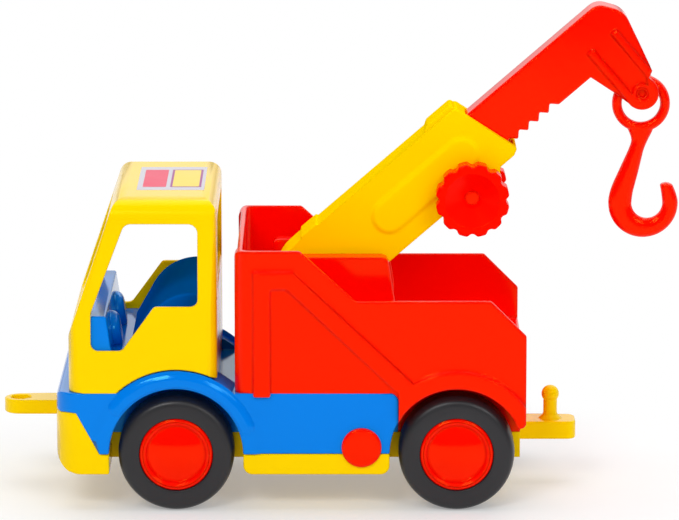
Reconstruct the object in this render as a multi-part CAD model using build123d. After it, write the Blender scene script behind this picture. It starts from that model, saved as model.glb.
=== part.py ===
from build123d import *
import math
import os

# A toddler's moulded plastic tow truck, about 370 mm long.
# Frame: +X is forward, +Y is the truck's left, +Z is up, and z = 0 is the floor under the tyres.
# All sizes are millimetres. The outline of the truck is drawn in side view, so most tables
# give x (forward) and z (up), and each solid is then carried across the width in Y.

# Overall
BODY_HALF = 69.0            # outer faces of the wheel hoops and bed ribs, from the centre plane
PANEL_INSET = 1.5           # flat side panels lie this far inside the hoops and ribs
WALL = 2.7                  # moulded wall thickness of cab and bed

# Wheels and axles
WHEEL_R = 31.4
WHEEL_WIDTH = 24.0
TYRE_SHOULDER_R = 6.0
RIM_R = 20.0
RIM_LIP = 3.6               # width of the raised ring round the wheel's dish
RIM_DISH_DEPTH = 2.2
RIM_WEB = 3.0
HUB_R = 7.0
AXLE_R = 2.5
AXLE_PLAY = 0.08            # radial play of the axle in the chassis
AXLE_GRIP = 14.0            # length of axle held in each hub
FRONT_AXLE_X = 88.5
REAR_AXLE_X = -63.0
WHEEL_SIDE_GAP = 2.0        # between a wheel's inner face and the chassis

# Wheel arches
ARCH_R = 36.2
HOOP_R = 46.3               # outer radius of the blue hoop over the front wheel
BED_HOOP_R = 45.5           # outer radius of the red hoop over the rear wheel

# Blue lower body
NOSE_X = 153.5
BODY_TOP_Z = 65.0
BODY_SILL_Z = 31.5
BODY_REAR_X = -31.6
BODY_REAR_R = 5.0           # rounding of the sill's rear top corner, where the bed laps it
BUMPER_LOW_Z = 54.0
BUMPER_BAND = 11.2          # level part of the blue band's lower edge, behind the nose
SLOPE_RUN = 12.4            # length of the slope behind it, down to the sill
NOSE_CORNER_R = 14.0        # rounding of the nose in plan

# Yellow chassis
CHASSIS_LOW_Z = 20.0
CORE_LOW_Z = 24.0
CORE_TOP_Z = 38.0
CORE_REAR_X = -98.0
CHIN_R = 13.0               # rounding of the front bumper's lower edge
SILL_R = 5.0

# Front tow tab
TAB_LENGTH = 31.8
TAB_WIDTH = 18.0
TAB_LOW_Z = 40.0
TAB_THICK = 8.0
TAB_HOLE_R = 5.5

# Rear hitch
HITCH_END_X = -130.0
HITCH_WIDTH = 20.0
HITCH_LOW_Z = 26.0
HITCH_THICK = 10.0
HITCH_PIN_X = -116.2
HITCH_NECK_R = 3.75
HITCH_FLARE = 2.5           # the neck widens by this much onto the plate
HITCH_BALL_R = 4.8
HITCH_BALL_Z = 49.7

# Cab
CAB_REAR_X = 66.3
CAB_FRONT_X = 146.5
CAB_FOLD_Z = 95.3           # the front is upright up to here and leans back above
CAB_BROW_X = 120.9
CAB_TOP_Z = 170.5
CAB_ROOF_HALF = 63.0        # half width at the roof, before its edge is rounded
CAB_ROOF_R = 12.0
CAB_CORNER_R = 9.0
CAB_FLOOR_Z = 84.4
WINDOW_SILL_Z = 88.1
WINDOW_STEP_Z = 112.1       # the sill beside the seat
WINDOW_TOP_Z = 156.9
WINDOW_REAR_X = 76.6
WINDOW_FRONT_X = 134.1
WINDOW_R = 4.0

# Cab interior
SEAT_HALF = 51.5
SEAT_REAR_X = 70.5
SEAT_TOP_Z = 117.0
SEAT_FOOT_X = 114.4
SEAT_BROW_X = 95.8          # where the seat's flat top would meet its sloping front
SEAT_BROW_R = 28.0
DASH_FOOT_X = 122.8
DASH_TOP_X = 126.1
DASH_TOP_Z = 106.5
DASH_DEPTH = 8.0            # depth of the dashboard's flat top
STEERING_R = 11.0
STEERING_THICK = 7.0
STEERING_Y = 26.0
STEERING_Z = 91.3

# Bed
BED_FRONT_X = 56.8
BED_REAR_X = -100.3
BED_TOP_Z = 142.9
BED_SHOULDER_X = 21.6       # rear end of the high front part of each side
BED_WAIST_X = -8.5
BED_WAIST_Z = 115.5
BED_TAIL_X = -81.1
BED_TAIL_Z = 96.4
BED_SKIRT_Z = 45.9
BED_FLOOR_Z = 79.0
BED_CORNER_R = 7.0
BED_TIP_R = 3.0             # rounding of the hoop's rear lower tip
RIB_FRONT_X = 46.8
RIB_TOP_Z = 131.7
RIB_WIDTH = 9.3
RIB_FOOT = 1.8              # the upright rib runs this far down over the sill
BED_FRONT_RECESS = 1.5

# Pedestal that carries the boom
PEDESTAL_FRONT_X = 37.0
PEDESTAL_REAR_X = -30.0
PEDESTAL_TOP_Z = 132.5
PEDESTAL_HALF = 31.5
SLOT_HALF = 20.0

# Boom: s runs up along the boom from its pivot, h is square to it, up and forward
BOOM_ANGLE = 40.9           # slope of the boom above level
BOOM_PIVOT_X = 14.1
BOOM_PIVOT_Z = 118.5
BOOM_PIN_R = 4.0
PIN_PLAY = 0.08
SLEEVE_HALF_DEPTH = 20.5
SLEEVE_HALF_WIDTH = 15.0
MOUTH_TOP_S = 119.0
MOUTH_LOW_S = 130.3
COLLAR_S = 97.0
COLLAR_RISE = 2.5
FOOT_LUG_S = 8.5            # small raised lug across the sleeve's top at its foot
FOOT_LUG_LENGTH = 12.0
FOOT_LUG_RISE = 1.3
PAD_START_S = 53.0
PAD_END_S = 105.0
PAD_H = -1.3
PAD_R = 10.0
PAD_RISE = 1.6
GEAR_CASE_R = 15.0

# Sliding arm
ARM_HALF_WIDTH = 9.0
ARM_TOP_H = 12.8
ARM_DEPTH = 28.7
ARM_PLAY = 0.4
ARM_INNER_S = 60.0
RACK_END_S = 162.6
RACK_PITCH = 7.28
RACK_TEETH = 14
TOOTH_ROOT_R = 0.9
HEAD_BROW_S = 214.0         # corners of the head's outline
HEAD_NOSE_S = 222.6
HEAD_CHIN_S = 213.1
HEAD_THROAT_S = 185.3
HEAD_CHEEK_S = 189.4
HEAD_CHEEK_H = -30.4
HEAD_BROW_R = 9.0
HEAD_HALF_WIDTH = 11.0
HEAD_RIB = 4.4              # width of the raised rib that runs down the head and round the pin
HEAD_RIB_TOP_H = -4.4
HEAD_RIB_LOW_S = 192.1
HEAD_RIB_HIGH_S = 213.2
HOOK_SLOT_HALF = 4.5
HOOK_PIN_S = 200.9
HOOK_PIN_H = -40.6
HOOK_EYE_R = 9.1            # rounded end of the arm's head round the hook pin
HOOK_PIN_R = 3.1
HOOK_BOSS_R = 5.4           # raised boss round each end of the hook pin

# Winding knobs and pinion
PINION_S = 94.4
PINION_TEETH = 7
PINION_REACH = 1.61         # the pitch circle reaches this far past the tips of the rack
PINION_ADDENDUM = 1.19
PINION_DEDENDUM = 2.11
PINION_HALF_WIDTH = 7.0
PINION_BACKLASH = 0.86
SHAFT_R = 4.0
KNOB_R = 20.1
KNOB_DEPTH = 13.0
KNOB_GAP = 2.2              # between the sleeve's side and each knob
PINION_GAP = 1.0            # between the pinion's ends and its case
KNOB_DISH_R = 14.7
KNOB_DISH_DEPTH = 8.0
KNOB_EYE_R = 4.1            # flat at the bottom of the dish
KNOB_GRIP = 3.5             # length of shaft held in each knob
KNOB_LOBES = 12
KNOB_SCALLOP_R = 3.0

# Hook
HOOK_HALF_THICK = 3.5
HOOK_RING_R = 15.9
HOOK_RING_HOLE_R = 10.4
HOOK_HANG_GAP = 0.3
HOOK_BOWL_R = 19.1
HOOK_MOUTH_R = 8.4

# Side button
BUTTON_X = -11.6
BUTTON_Z = 35.2
BUTTON_R = 10.8
BUTTON_RISE = 2.5

BUMPER_BACK_X = NOSE_X - BUMPER_BAND
SLOPE_FOOT_X = BUMPER_BACK_X - SLOPE_RUN
PANEL_HALF = BODY_HALF - PANEL_INSET
AXLE_Z = WHEEL_R
WHEEL_INNER_Y = BODY_HALF - WHEEL_WIDTH
CORE_HALF = WHEEL_INNER_Y - WHEEL_SIDE_GAP
TOOTH_DEPTH = RACK_PITCH / 2
PITCH_R = RACK_PITCH * PINION_TEETH / (2 * math.pi)
PINION_TIP_R = PITCH_R + PINION_ADDENDUM
PINION_H = ARM_TOP_H - ARM_DEPTH + PINION_REACH - PITCH_R


def corner_face(rows):
    """Face on XY from rows of (x, y, radius): straight sides, each corner rounded by its radius."""
    stops = []
    for index, (x, y, radius) in enumerate(rows):
        here = Vector(x, y)
        back = (Vector(*rows[index - 1][:2]) - here).normalized()
        ahead = (Vector(*rows[(index + 1) % len(rows)][:2]) - here).normalized()
        half = math.radians(back.get_angle(ahead)) / 2
        middle = (back + ahead).normalized() if radius else here
        reach = radius / math.tan(half)
        crown = here + middle * (radius / math.sin(half) - radius) if radius else here
        stops.append((here + back * reach, crown, here + ahead * reach, radius))
    edges = []
    for index, (start, crown, finish, radius) in enumerate(stops):
        if radius:
            edges.append(ThreePointArc(start, crown, finish))
        edges.append(Line(finish, stops[(index + 1) % len(stops)][0]))
    return make_face(edges)


def across(face, y_low, y_high):
    """Carry a face drawn as (x, z) across the width from y_low to y_high."""
    return Pos(0, y_high, 0) * extrude(Plane.XZ * face, amount=y_high - y_low)


def both_sides(face, y_low, y_high):
    """The same slab on the right and on the left."""
    return across(face, y_low, y_high) + across(face, -y_high, -y_low)


def disc(x, z, radius):
    """Round face at (x, z) in side view."""
    return Pos(x, z) * Circle(radius)


def block(x_low, x_high, y_half, z_low, z_high):
    """Box given by its faces, centred on the truck's middle plane."""
    size = Box(x_high - x_low, 2 * y_half, z_high - z_low)
    return Pos((x_low + x_high) / 2, 0, (z_low + z_high) / 2) * size


def plan_slab(x_low, x_high, y_half, z_low, z_high, front_r, rear_r):
    """Upright prism with rounded front and rear corners in plan."""
    rows = [
        (x_high, -y_half, front_r),
        (x_high, y_half, front_r),
        (x_low, y_half, rear_r),
        (x_low, -y_half, rear_r),
    ]
    return Pos(0, 0, z_low) * extrude(corner_face(rows), amount=z_high - z_low)


# ---- Wheels: black tyre on a red rim, both pressed on the ends of a steel axle ----

def tyre():
    """Plain ring with rounded shoulders, drawn for the left side with its outer face at BODY_HALF."""
    rows = [
        (RIM_R, 0, 0),
        (WHEEL_R, 0, TYRE_SHOULDER_R),
        (WHEEL_R, WHEEL_WIDTH, TYRE_SHOULDER_R),
        (RIM_R, WHEEL_WIDTH, 0),
    ]
    return wheel_turn(rows)


def rim():
    """Red wheel centre: a raised outer ring, a shallow dish, a barrel under the tyre and a hub."""
    dish_r = RIM_R - RIM_LIP
    dish_y = WHEEL_WIDTH - RIM_DISH_DEPTH
    rows = [
        (0, dish_y, 0),
        (dish_r, dish_y, 0),
        (dish_r, WHEEL_WIDTH, 0),
        (RIM_R, WHEEL_WIDTH, 0),
        (RIM_R, 0, 0),
        (RIM_R - RIM_WEB, 0, 0),
        (RIM_R - RIM_WEB, dish_y - RIM_WEB, 0),
        (HUB_R, dish_y - RIM_WEB, 0),
        (HUB_R, 0, 0),
        (AXLE_R, 0, 0),
        (AXLE_R, AXLE_GRIP, 0),
        (0, AXLE_GRIP, 0),
    ]
    return wheel_turn(rows)


def wheel_turn(rows):
    """Turn a section of (radius, distance outward from the wheel's inner face) about the axle."""
    section = Pos(0, WHEEL_INNER_Y) * corner_face(rows)
    return revolve(section, Axis.Y)


def axle():
    """Steel axle that joins the two hubs."""
    half = WHEEL_INNER_Y + AXLE_GRIP
    return Rot(90, 0, 0) * Cylinder(AXLE_R, 2 * half)


def wheel_nodes():
    """Both wheel sets: one tyre and one rim on each end of each axle."""
    nodes = {}
    # set name, axle x
    table = [("front", FRONT_AXLE_X), ("rear", REAR_AXLE_X)]
    for name, axle_x in table:
        place = Pos(axle_x, 0, AXLE_Z)
        nodes[f"axle_{name}"] = place * axle()
        for side, turn in (("left", 0), ("right", 180)):
            nodes[f"tyre_{name}_{side}"] = place * Rot(0, 0, turn) * tyre()
            nodes[f"rim_{name}_{side}"] = place * Rot(0, 0, turn) * rim()
    return nodes


# ---- Chassis: the yellow bottom moulding with tow tab and hitch ----

def bumper_face():
    """Side view of the yellow front bumper, below the blue band."""
    front_arch_x = FRONT_AXLE_X + ARCH_R
    rows = [
        (front_arch_x, CHASSIS_LOW_Z, 0),
        (NOSE_X, CHASSIS_LOW_Z, CHIN_R),
        (NOSE_X, BUMPER_LOW_Z, 0),
        (BUMPER_BACK_X, BUMPER_LOW_Z, 0),
        (SLOPE_FOOT_X, BODY_SILL_Z, 0),
        (front_arch_x, BODY_SILL_Z, 0),
    ]
    return corner_face(rows)


def chassis():
    """Front bumper, side sills and a core that carries both axles."""
    bumper = across(bumper_face(), -PANEL_HALF, PANEL_HALF)
    bumper &= plan_slab(0, NOSE_X, PANEL_HALF, 0, BODY_TOP_Z, NOSE_CORNER_R, 0)
    sill_rows = [
        (REAR_AXLE_X + ARCH_R, BODY_SILL_Z, 0),
        (REAR_AXLE_X + ARCH_R, CHASSIS_LOW_Z, SILL_R),
        (FRONT_AXLE_X - ARCH_R, CHASSIS_LOW_Z, SILL_R),
        (FRONT_AXLE_X - ARCH_R, BODY_SILL_Z, 0),
    ]
    sill = across(corner_face(sill_rows), -PANEL_HALF, PANEL_HALF)
    core = block(CORE_REAR_X, SLOPE_FOOT_X, CORE_HALF, CORE_LOW_Z, CORE_TOP_Z)
    frame = bumper + sill + core + tow_tab() + hitch()
    for axle_x in (FRONT_AXLE_X, REAR_AXLE_X):
        frame -= across(disc(axle_x, AXLE_Z, AXLE_R + AXLE_PLAY), -CORE_HALF, CORE_HALF)
    return frame


def tow_tab():
    """Flat tongue on the front bumper with a round eye."""
    tip_x = NOSE_X + TAB_LENGTH
    eye_x = tip_x - TAB_WIDTH / 2
    tongue = Rectangle(eye_x - BUMPER_BACK_X, TAB_WIDTH)
    plan = Pos((eye_x + BUMPER_BACK_X) / 2, 0) * tongue + Pos(eye_x, 0) * Circle(TAB_WIDTH / 2)
    plan -= Pos(eye_x, 0) * Circle(TAB_HOLE_R)
    return Pos(0, 0, TAB_LOW_Z) * extrude(plan, amount=TAB_THICK)


def hitch():
    """Plate behind the chassis with an upright pin and ball for a trailer."""
    rows = [
        (CORE_REAR_X + HITCH_WIDTH, -HITCH_WIDTH / 2, 0),
        (CORE_REAR_X + HITCH_WIDTH, HITCH_WIDTH / 2, 0),
        (HITCH_END_X, HITCH_WIDTH / 2, HITCH_WIDTH / 4),
        (HITCH_END_X, -HITCH_WIDTH / 2, HITCH_WIDTH / 4),
    ]
    plate = Pos(0, 0, HITCH_LOW_Z) * extrude(corner_face(rows), amount=HITCH_THICK)
    plate_top = HITCH_LOW_Z + HITCH_THICK
    neck_height = HITCH_BALL_Z - plate_top
    neck = Pos(HITCH_PIN_X, 0, plate_top + neck_height / 2) * Cylinder(HITCH_NECK_R, neck_height)
    flare = Cone(HITCH_NECK_R + HITCH_FLARE, HITCH_NECK_R, HITCH_FLARE)
    neck += Pos(HITCH_PIN_X, 0, plate_top + HITCH_FLARE / 2) * flare
    ball = Pos(HITCH_PIN_X, 0, HITCH_BALL_Z) * Sphere(HITCH_BALL_R)
    return plate + neck + ball


# ---- Blue lower body: bumper band, hoops over the front wheels, sill and cab floor ----

def lower_body():
    """One moulding between the chassis and the cab and bed."""
    rows = [
        (BODY_REAR_X, BODY_SILL_Z, 0),
        (SLOPE_FOOT_X, BODY_SILL_Z, 0),
        (BUMPER_BACK_X, BUMPER_LOW_Z, 0),
        (NOSE_X, BUMPER_LOW_Z, 3),
        (NOSE_X, BODY_TOP_Z, 4),
        (BODY_REAR_X, BODY_TOP_Z, BODY_REAR_R),
    ]
    shell = across(corner_face(rows), -PANEL_HALF, PANEL_HALF)
    shell &= plan_slab(BODY_REAR_X, NOSE_X, PANEL_HALF, 0, CAB_TOP_Z, NOSE_CORNER_R, 0)
    shell += cab_inside() & block(0, NOSE_X, BODY_HALF, BODY_TOP_Z, CAB_FLOOR_Z)
    below_sill = Pos(FRONT_AXLE_X, BODY_SILL_Z - HOOP_R) * Rectangle(2 * HOOP_R, 2 * HOOP_R)
    hoop = disc(FRONT_AXLE_X, AXLE_Z, HOOP_R) - below_sill - bumper_face()
    shell += both_sides(hoop, CORE_HALF, BODY_HALF)
    for axle_x in (FRONT_AXLE_X, REAR_AXLE_X):
        shell -= both_sides(disc(axle_x, AXLE_Z, ARCH_R), CORE_HALF, BODY_HALF)
    shell -= tow_tab()
    return shell - block(BODY_REAR_X, SLOPE_FOOT_X, CORE_HALF, 0, CORE_TOP_Z)


# ---- Cab: a hollow yellow shell with windows cut through ----

def cab_block(inset):
    """The cab's outer form, shrunk by inset on every face except the open bottom."""
    side_rows = [
        (CAB_REAR_X + inset, 0, 0),
        (CAB_FRONT_X - inset, 0, 0),
        (CAB_FRONT_X - inset, CAB_FOLD_Z, CAB_CORNER_R),
        (CAB_BROW_X - inset, CAB_TOP_Z - inset, CAB_CORNER_R),
        (CAB_REAR_X + inset, CAB_TOP_Z - inset, CAB_CORNER_R - inset),
    ]
    end_rows = [
        (-PANEL_HALF + inset, 0, 0),
        (PANEL_HALF - inset, 0, 0),
        (PANEL_HALF - inset, BODY_TOP_Z, 0),
        (CAB_ROOF_HALF - inset, CAB_TOP_Z - inset, CAB_ROOF_R - inset),
        (-CAB_ROOF_HALF + inset, CAB_TOP_Z - inset, CAB_ROOF_R - inset),
        (-PANEL_HALF + inset, BODY_TOP_Z, 0),
    ]
    along = across(corner_face(side_rows), -BODY_HALF, BODY_HALF)
    end = Pos(0, 0, 0) * extrude(Plane.YZ * corner_face(end_rows), amount=NOSE_X)
    plan = plan_slab(
        CAB_REAR_X + inset, CAB_FRONT_X - inset, PANEL_HALF - inset, 0, CAB_TOP_Z,
        CAB_CORNER_R - inset, CAB_CORNER_R - inset,
    )
    return along & end & plan


def cab_inside():
    """The hollow of the cab."""
    return cab_block(WALL)


def cab_shell():
    """Yellow cab with side windows, windscreen opening and rear window."""
    shell = cab_block(0) - cab_inside()
    shell -= block(0, NOSE_X, BODY_HALF, 0, BODY_TOP_Z)
    shell -= both_sides(disc(FRONT_AXLE_X, AXLE_Z, HOOP_R), CORE_HALF, BODY_HALF)
    # side window: x, z, corner radius
    side_window = [
        (WINDOW_FRONT_X, WINDOW_SILL_Z, WINDOW_R),
        (WINDOW_FRONT_X, WINDOW_SILL_Z + 20.4, WINDOW_R),
        (WINDOW_REAR_X + 39.1, WINDOW_TOP_Z, WINDOW_R + 1),
        (WINDOW_REAR_X, WINDOW_TOP_Z, WINDOW_R + 1),
        (WINDOW_REAR_X, WINDOW_STEP_Z, WINDOW_R),
        (WINDOW_REAR_X + 23.4, WINDOW_STEP_Z, WINDOW_R - 1),
        (WINDOW_FRONT_X - 16.6, WINDOW_SILL_Z, WINDOW_R),
    ]
    shell -= across(corner_face(side_window), -BODY_HALF, BODY_HALF)
    # end windows, over y and z: x from, x to, half width, sill, top
    end_windows = [
        (CAB_BROW_X - WALL, NOSE_X, CAB_ROOF_HALF - 13, CAB_FOLD_Z + 5, CAB_TOP_Z - 16),
        (0, CAB_REAR_X + 2 * WALL, CAB_ROOF_HALF - 16, SEAT_TOP_Z + 1.5, WINDOW_TOP_Z),
    ]
    for x_low, x_high, half, sill_z, top_z in end_windows:
        rows = [
            (-half, sill_z, WINDOW_R),
            (half, sill_z, WINDOW_R),
            (half, top_z, WINDOW_R),
            (-half, top_z, WINDOW_R),
        ]
        shell -= Pos(x_low, 0, 0) * extrude(Plane.YZ * corner_face(rows), amount=x_high - x_low)
    return shell


def dashboard():
    """Blue panel across the front of the cab floor, its rear face leaning forward at the foot."""
    front_x = CAB_FRONT_X - WALL
    rows = [
        (DASH_FOOT_X, CAB_FLOOR_Z, 0),
        (front_x, CAB_FLOOR_Z, 0),
        (front_x, CAB_FOLD_Z - CAB_CORNER_R, 0),
        (DASH_TOP_X + DASH_DEPTH, DASH_TOP_Z, 1.5),
        (DASH_TOP_X, DASH_TOP_Z, 1.5),
    ]
    return across(corner_face(rows), -PANEL_HALF, PANEL_HALF) & cab_inside()


def steering_discs():
    """Two thick round steering wheels on the dashboard, cut off flat at the floor."""
    lean = math.degrees(math.atan2(DASH_TOP_X - DASH_FOOT_X, DASH_TOP_Z - CAB_FLOOR_Z))
    discs = Part()
    for side_y in (-STEERING_Y, STEERING_Y):
        centre = Pos(DASH_FOOT_X, side_y, STEERING_Z) * Rot(0, 90 - lean, 0)
        discs += centre * Cylinder(STEERING_R, STEERING_THICK)
    return discs - dashboard() - block(0, NOSE_X, PANEL_HALF, 0, CAB_FLOOR_Z)


def seat():
    """Bench seat moulded across the cab: a flat top that bends down in one sweep to the floor."""
    rows = [
        (SEAT_REAR_X, CAB_FLOOR_Z, 0),
        (SEAT_FOOT_X, CAB_FLOOR_Z, 0),
        (SEAT_BROW_X, SEAT_TOP_Z, SEAT_BROW_R),
        (SEAT_REAR_X, SEAT_TOP_Z, 0),
    ]
    return across(corner_face(rows), -SEAT_HALF, SEAT_HALF)


# ---- Bed: red open box with high front, arches over the rear wheels and raised ribs ----

def bed():
    """Load bed: floor, two shaped sides and a front wall, open at the back."""
    side_rows = [
        (BED_FRONT_X, BODY_TOP_Z, 0),
        (BED_FRONT_X, BED_TOP_Z, 4),
        (BED_SHOULDER_X, BED_TOP_Z, 3),
        (BED_WAIST_X, BED_WAIST_Z, 3),
        (BED_TAIL_X, BED_WAIST_Z, 2),
        (BED_REAR_X, BED_TAIL_Z, 2),
        (BED_REAR_X, BED_SKIRT_Z, BED_TIP_R),
        (BODY_REAR_X, BED_SKIRT_Z, 0),
        (BODY_REAR_X, BODY_TOP_Z, BODY_REAR_R),
    ]
    box = across(corner_face(side_rows), -PANEL_HALF, PANEL_HALF)
    box &= plan_slab(BED_REAR_X, BED_FRONT_X, PANEL_HALF, 0, BED_TOP_Z, BED_CORNER_R, 0)
    box += block(CORE_REAR_X, BODY_REAR_X, CORE_HALF, CORE_TOP_Z, BODY_TOP_Z)
    box += both_sides(bed_rib_face(), PANEL_HALF - WALL / 2, BODY_HALF)
    foot_rows = [
        (RIB_FRONT_X, BODY_TOP_Z, 0),
        (RIB_FRONT_X - RIB_WIDTH, BODY_TOP_Z, 0),
        (RIB_FRONT_X - RIB_WIDTH, BODY_TOP_Z - RIB_FOOT, 1.2),
        (RIB_FRONT_X, BODY_TOP_Z - RIB_FOOT, 1.2),
    ]
    box += both_sides(corner_face(foot_rows), PANEL_HALF, BODY_HALF)
    inner_front = BED_FRONT_X - BED_FRONT_RECESS - WALL
    box -= plan_slab(
        BED_REAR_X - WALL, inner_front, PANEL_HALF - WALL, BED_FLOOR_Z, BED_TOP_Z + WALL,
        BED_CORNER_R - WALL, 0,
    )
    recess_half = PANEL_HALF - 2 * BED_CORNER_R
    recess_front = BED_FRONT_X - BED_FRONT_RECESS
    box -= block(recess_front, BED_FRONT_X, recess_half, BODY_TOP_Z + WALL, BED_TOP_Z)
    box -= both_sides(disc(REAR_AXLE_X, AXLE_Z, ARCH_R), CORE_HALF, BODY_HALF)
    return box - both_sides(disc(FRONT_AXLE_X, AXLE_Z, HOOP_R), CORE_HALF, BODY_HALF)


def bed_rib_face():
    """Raised band on each side: upright, top rail, diagonal, and the hoop over the rear wheel."""
    rows = [
        (RIB_FRONT_X, BODY_TOP_Z, 0),
        (RIB_FRONT_X, RIB_TOP_Z, 1.5),
        (25.5, RIB_TOP_Z, 1.5),
        (-39.6, 70.6, 0),
        (-36.0, 55.0, 0),
        (BODY_REAR_X, 55.0, 0),
        (BODY_REAR_X, BODY_TOP_Z, 0),
        (29.3, RIB_TOP_Z - RIB_WIDTH, 1.5),
        (RIB_FRONT_X - RIB_WIDTH, RIB_TOP_Z - RIB_WIDTH, 1.5),
        (RIB_FRONT_X - RIB_WIDTH, BODY_TOP_Z, 0),
    ]
    window = corner_face([
        (BODY_REAR_X, BED_SKIRT_Z, 0),
        (BODY_REAR_X, BED_WAIST_Z, 0),
        (BED_REAR_X, BED_WAIST_Z, 0),
        (BED_REAR_X, BED_SKIRT_Z, BED_TIP_R),
    ])
    hoop = disc(REAR_AXLE_X, AXLE_Z, BED_HOOP_R) - disc(REAR_AXLE_X, AXLE_Z, ARCH_R)
    return corner_face(rows) + (hoop & window)


def pedestal():
    """Two thick cheeks on the bed floor, joined below the slot that the boom swings in."""
    rows = [
        (PEDESTAL_FRONT_X, BED_FLOOR_Z, 0),
        (PEDESTAL_FRONT_X, PEDESTAL_TOP_Z, 3),
        (PEDESTAL_REAR_X + 4, PEDESTAL_TOP_Z, 4),
        (PEDESTAL_REAR_X, 108.0, 4),
        (PEDESTAL_REAR_X, BED_FLOOR_Z, 0),
    ]
    stand = across(corner_face(rows), -PEDESTAL_HALF, PEDESTAL_HALF)
    slot_floor = BOOM_PIVOT_Z - SLEEVE_HALF_DEPTH - 3
    stand -= block(PEDESTAL_REAR_X, PEDESTAL_FRONT_X, SLOT_HALF, slot_floor, PEDESTAL_TOP_Z)
    bore = disc(BOOM_PIVOT_X, BOOM_PIVOT_Z, BOOM_PIN_R)
    return stand - across(bore, -PEDESTAL_HALF, PEDESTAL_HALF)


def boom_pin():
    """Pin through both cheeks and the boom's foot."""
    face = disc(BOOM_PIVOT_X, BOOM_PIVOT_Z, BOOM_PIN_R)
    return across(face, -PEDESTAL_HALF, PEDESTAL_HALF)


def side_button():
    """Round red plug on the left sill."""
    face = disc(BUTTON_X, BUTTON_Z, BUTTON_R)
    return across(face, PANEL_HALF, PANEL_HALF + BUTTON_RISE)


# ---- Boom: drawn level, pivot at the origin, then tilted onto the pedestal ----

BOOM_PLACE = Pos(BOOM_PIVOT_X, 0, BOOM_PIVOT_Z) * Rot(0, BOOM_ANGLE, 0)


def boom_rows(rows):
    """Rows of (s, h, radius) as side view rows, with s running rearward."""
    return [(-s, h, radius) for s, h, radius in rows]


def boom_disc(s, h, radius):
    """Round face at (s, h) on the boom."""
    return disc(-s, h, radius)


def sleeve():
    """Hollow sleeve that the arm slides in, with a case round the pinion."""
    depth = SLEEVE_HALF_DEPTH
    rows = [
        (0, depth, 0),
        (MOUTH_TOP_S, depth, 3),
        (MOUTH_LOW_S, -depth + 2, 1.5),
        (MOUTH_LOW_S - 4, -depth, 2),
        (0, -depth, 0),
    ]
    outline = corner_face(boom_rows(rows)) + boom_disc(0, 0, depth)
    case_rows = [
        (PINION_S - 19, -depth, 0),
        (PINION_S + 22, -depth, 0),
        (PINION_S + 12, PINION_H - 9, 0),
        (PINION_S - 12, PINION_H - 9, 0),
    ]
    outline += corner_face(boom_rows(case_rows)) + boom_disc(PINION_S, PINION_H, GEAR_CASE_R)
    body = across(outline, -SLEEVE_HALF_WIDTH, SLEEVE_HALF_WIDTH)
    collar_rows = [
        (COLLAR_S, depth, 0),
        (COLLAR_S + 4, depth + COLLAR_RISE, 2),
        (MOUTH_TOP_S - 1, depth + COLLAR_RISE, 2),
        (MOUTH_TOP_S, depth - 4, 0),
        (COLLAR_S, depth - 4, 0),
    ]
    body += across(corner_face(boom_rows(collar_rows)), -SLEEVE_HALF_WIDTH + 4, SLEEVE_HALF_WIDTH - 4)
    lug_rows = [
        (FOOT_LUG_S, depth + FOOT_LUG_RISE, 1),
        (FOOT_LUG_S + FOOT_LUG_LENGTH, depth + FOOT_LUG_RISE, 1),
        (FOOT_LUG_S + FOOT_LUG_LENGTH, depth - 2, 0),
        (FOOT_LUG_S, depth - 2, 0),
    ]
    body += across(corner_face(boom_rows(lug_rows)), -SLEEVE_HALF_WIDTH, SLEEVE_HALF_WIDTH)
    pad_rows = [
        (PAD_START_S, PAD_H + PAD_R, 0),
        (PAD_END_S, PAD_H + PAD_R, 0),
        (PAD_END_S, PAD_H - PAD_R, 0),
        (PAD_START_S, PAD_H - PAD_R, 0),
    ]
    pad = corner_face(boom_rows(pad_rows))
    pad += boom_disc(PAD_START_S, PAD_H, PAD_R) + boom_disc(PAD_END_S, PAD_H, PAD_R)
    body += across(pad, -SLEEVE_HALF_WIDTH - PAD_RISE, SLEEVE_HALF_WIDTH + PAD_RISE)
    cavity_rows = [
        (2 * BOOM_PIN_R, ARM_TOP_H + ARM_PLAY, 0),
        (MOUTH_LOW_S + 5, ARM_TOP_H + ARM_PLAY, 0),
        (MOUTH_LOW_S + 5, ARM_TOP_H - ARM_DEPTH - ARM_PLAY, 0),
        (2 * BOOM_PIN_R, ARM_TOP_H - ARM_DEPTH - ARM_PLAY, 0),
    ]
    cavity_half = ARM_HALF_WIDTH + ARM_PLAY
    body -= across(corner_face(boom_rows(cavity_rows)), -cavity_half, cavity_half)
    gear_half = PINION_HALF_WIDTH + PINION_GAP
    body -= across(boom_disc(PINION_S, PINION_H, PINION_TIP_R + 1), -gear_half, gear_half)
    body -= across(boom_disc(PINION_S, PINION_H, SHAFT_R + PIN_PLAY), -BODY_HALF, BODY_HALF)
    return body - across(boom_disc(0, 0, BOOM_PIN_R + PIN_PLAY), -BODY_HALF, BODY_HALF)


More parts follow.
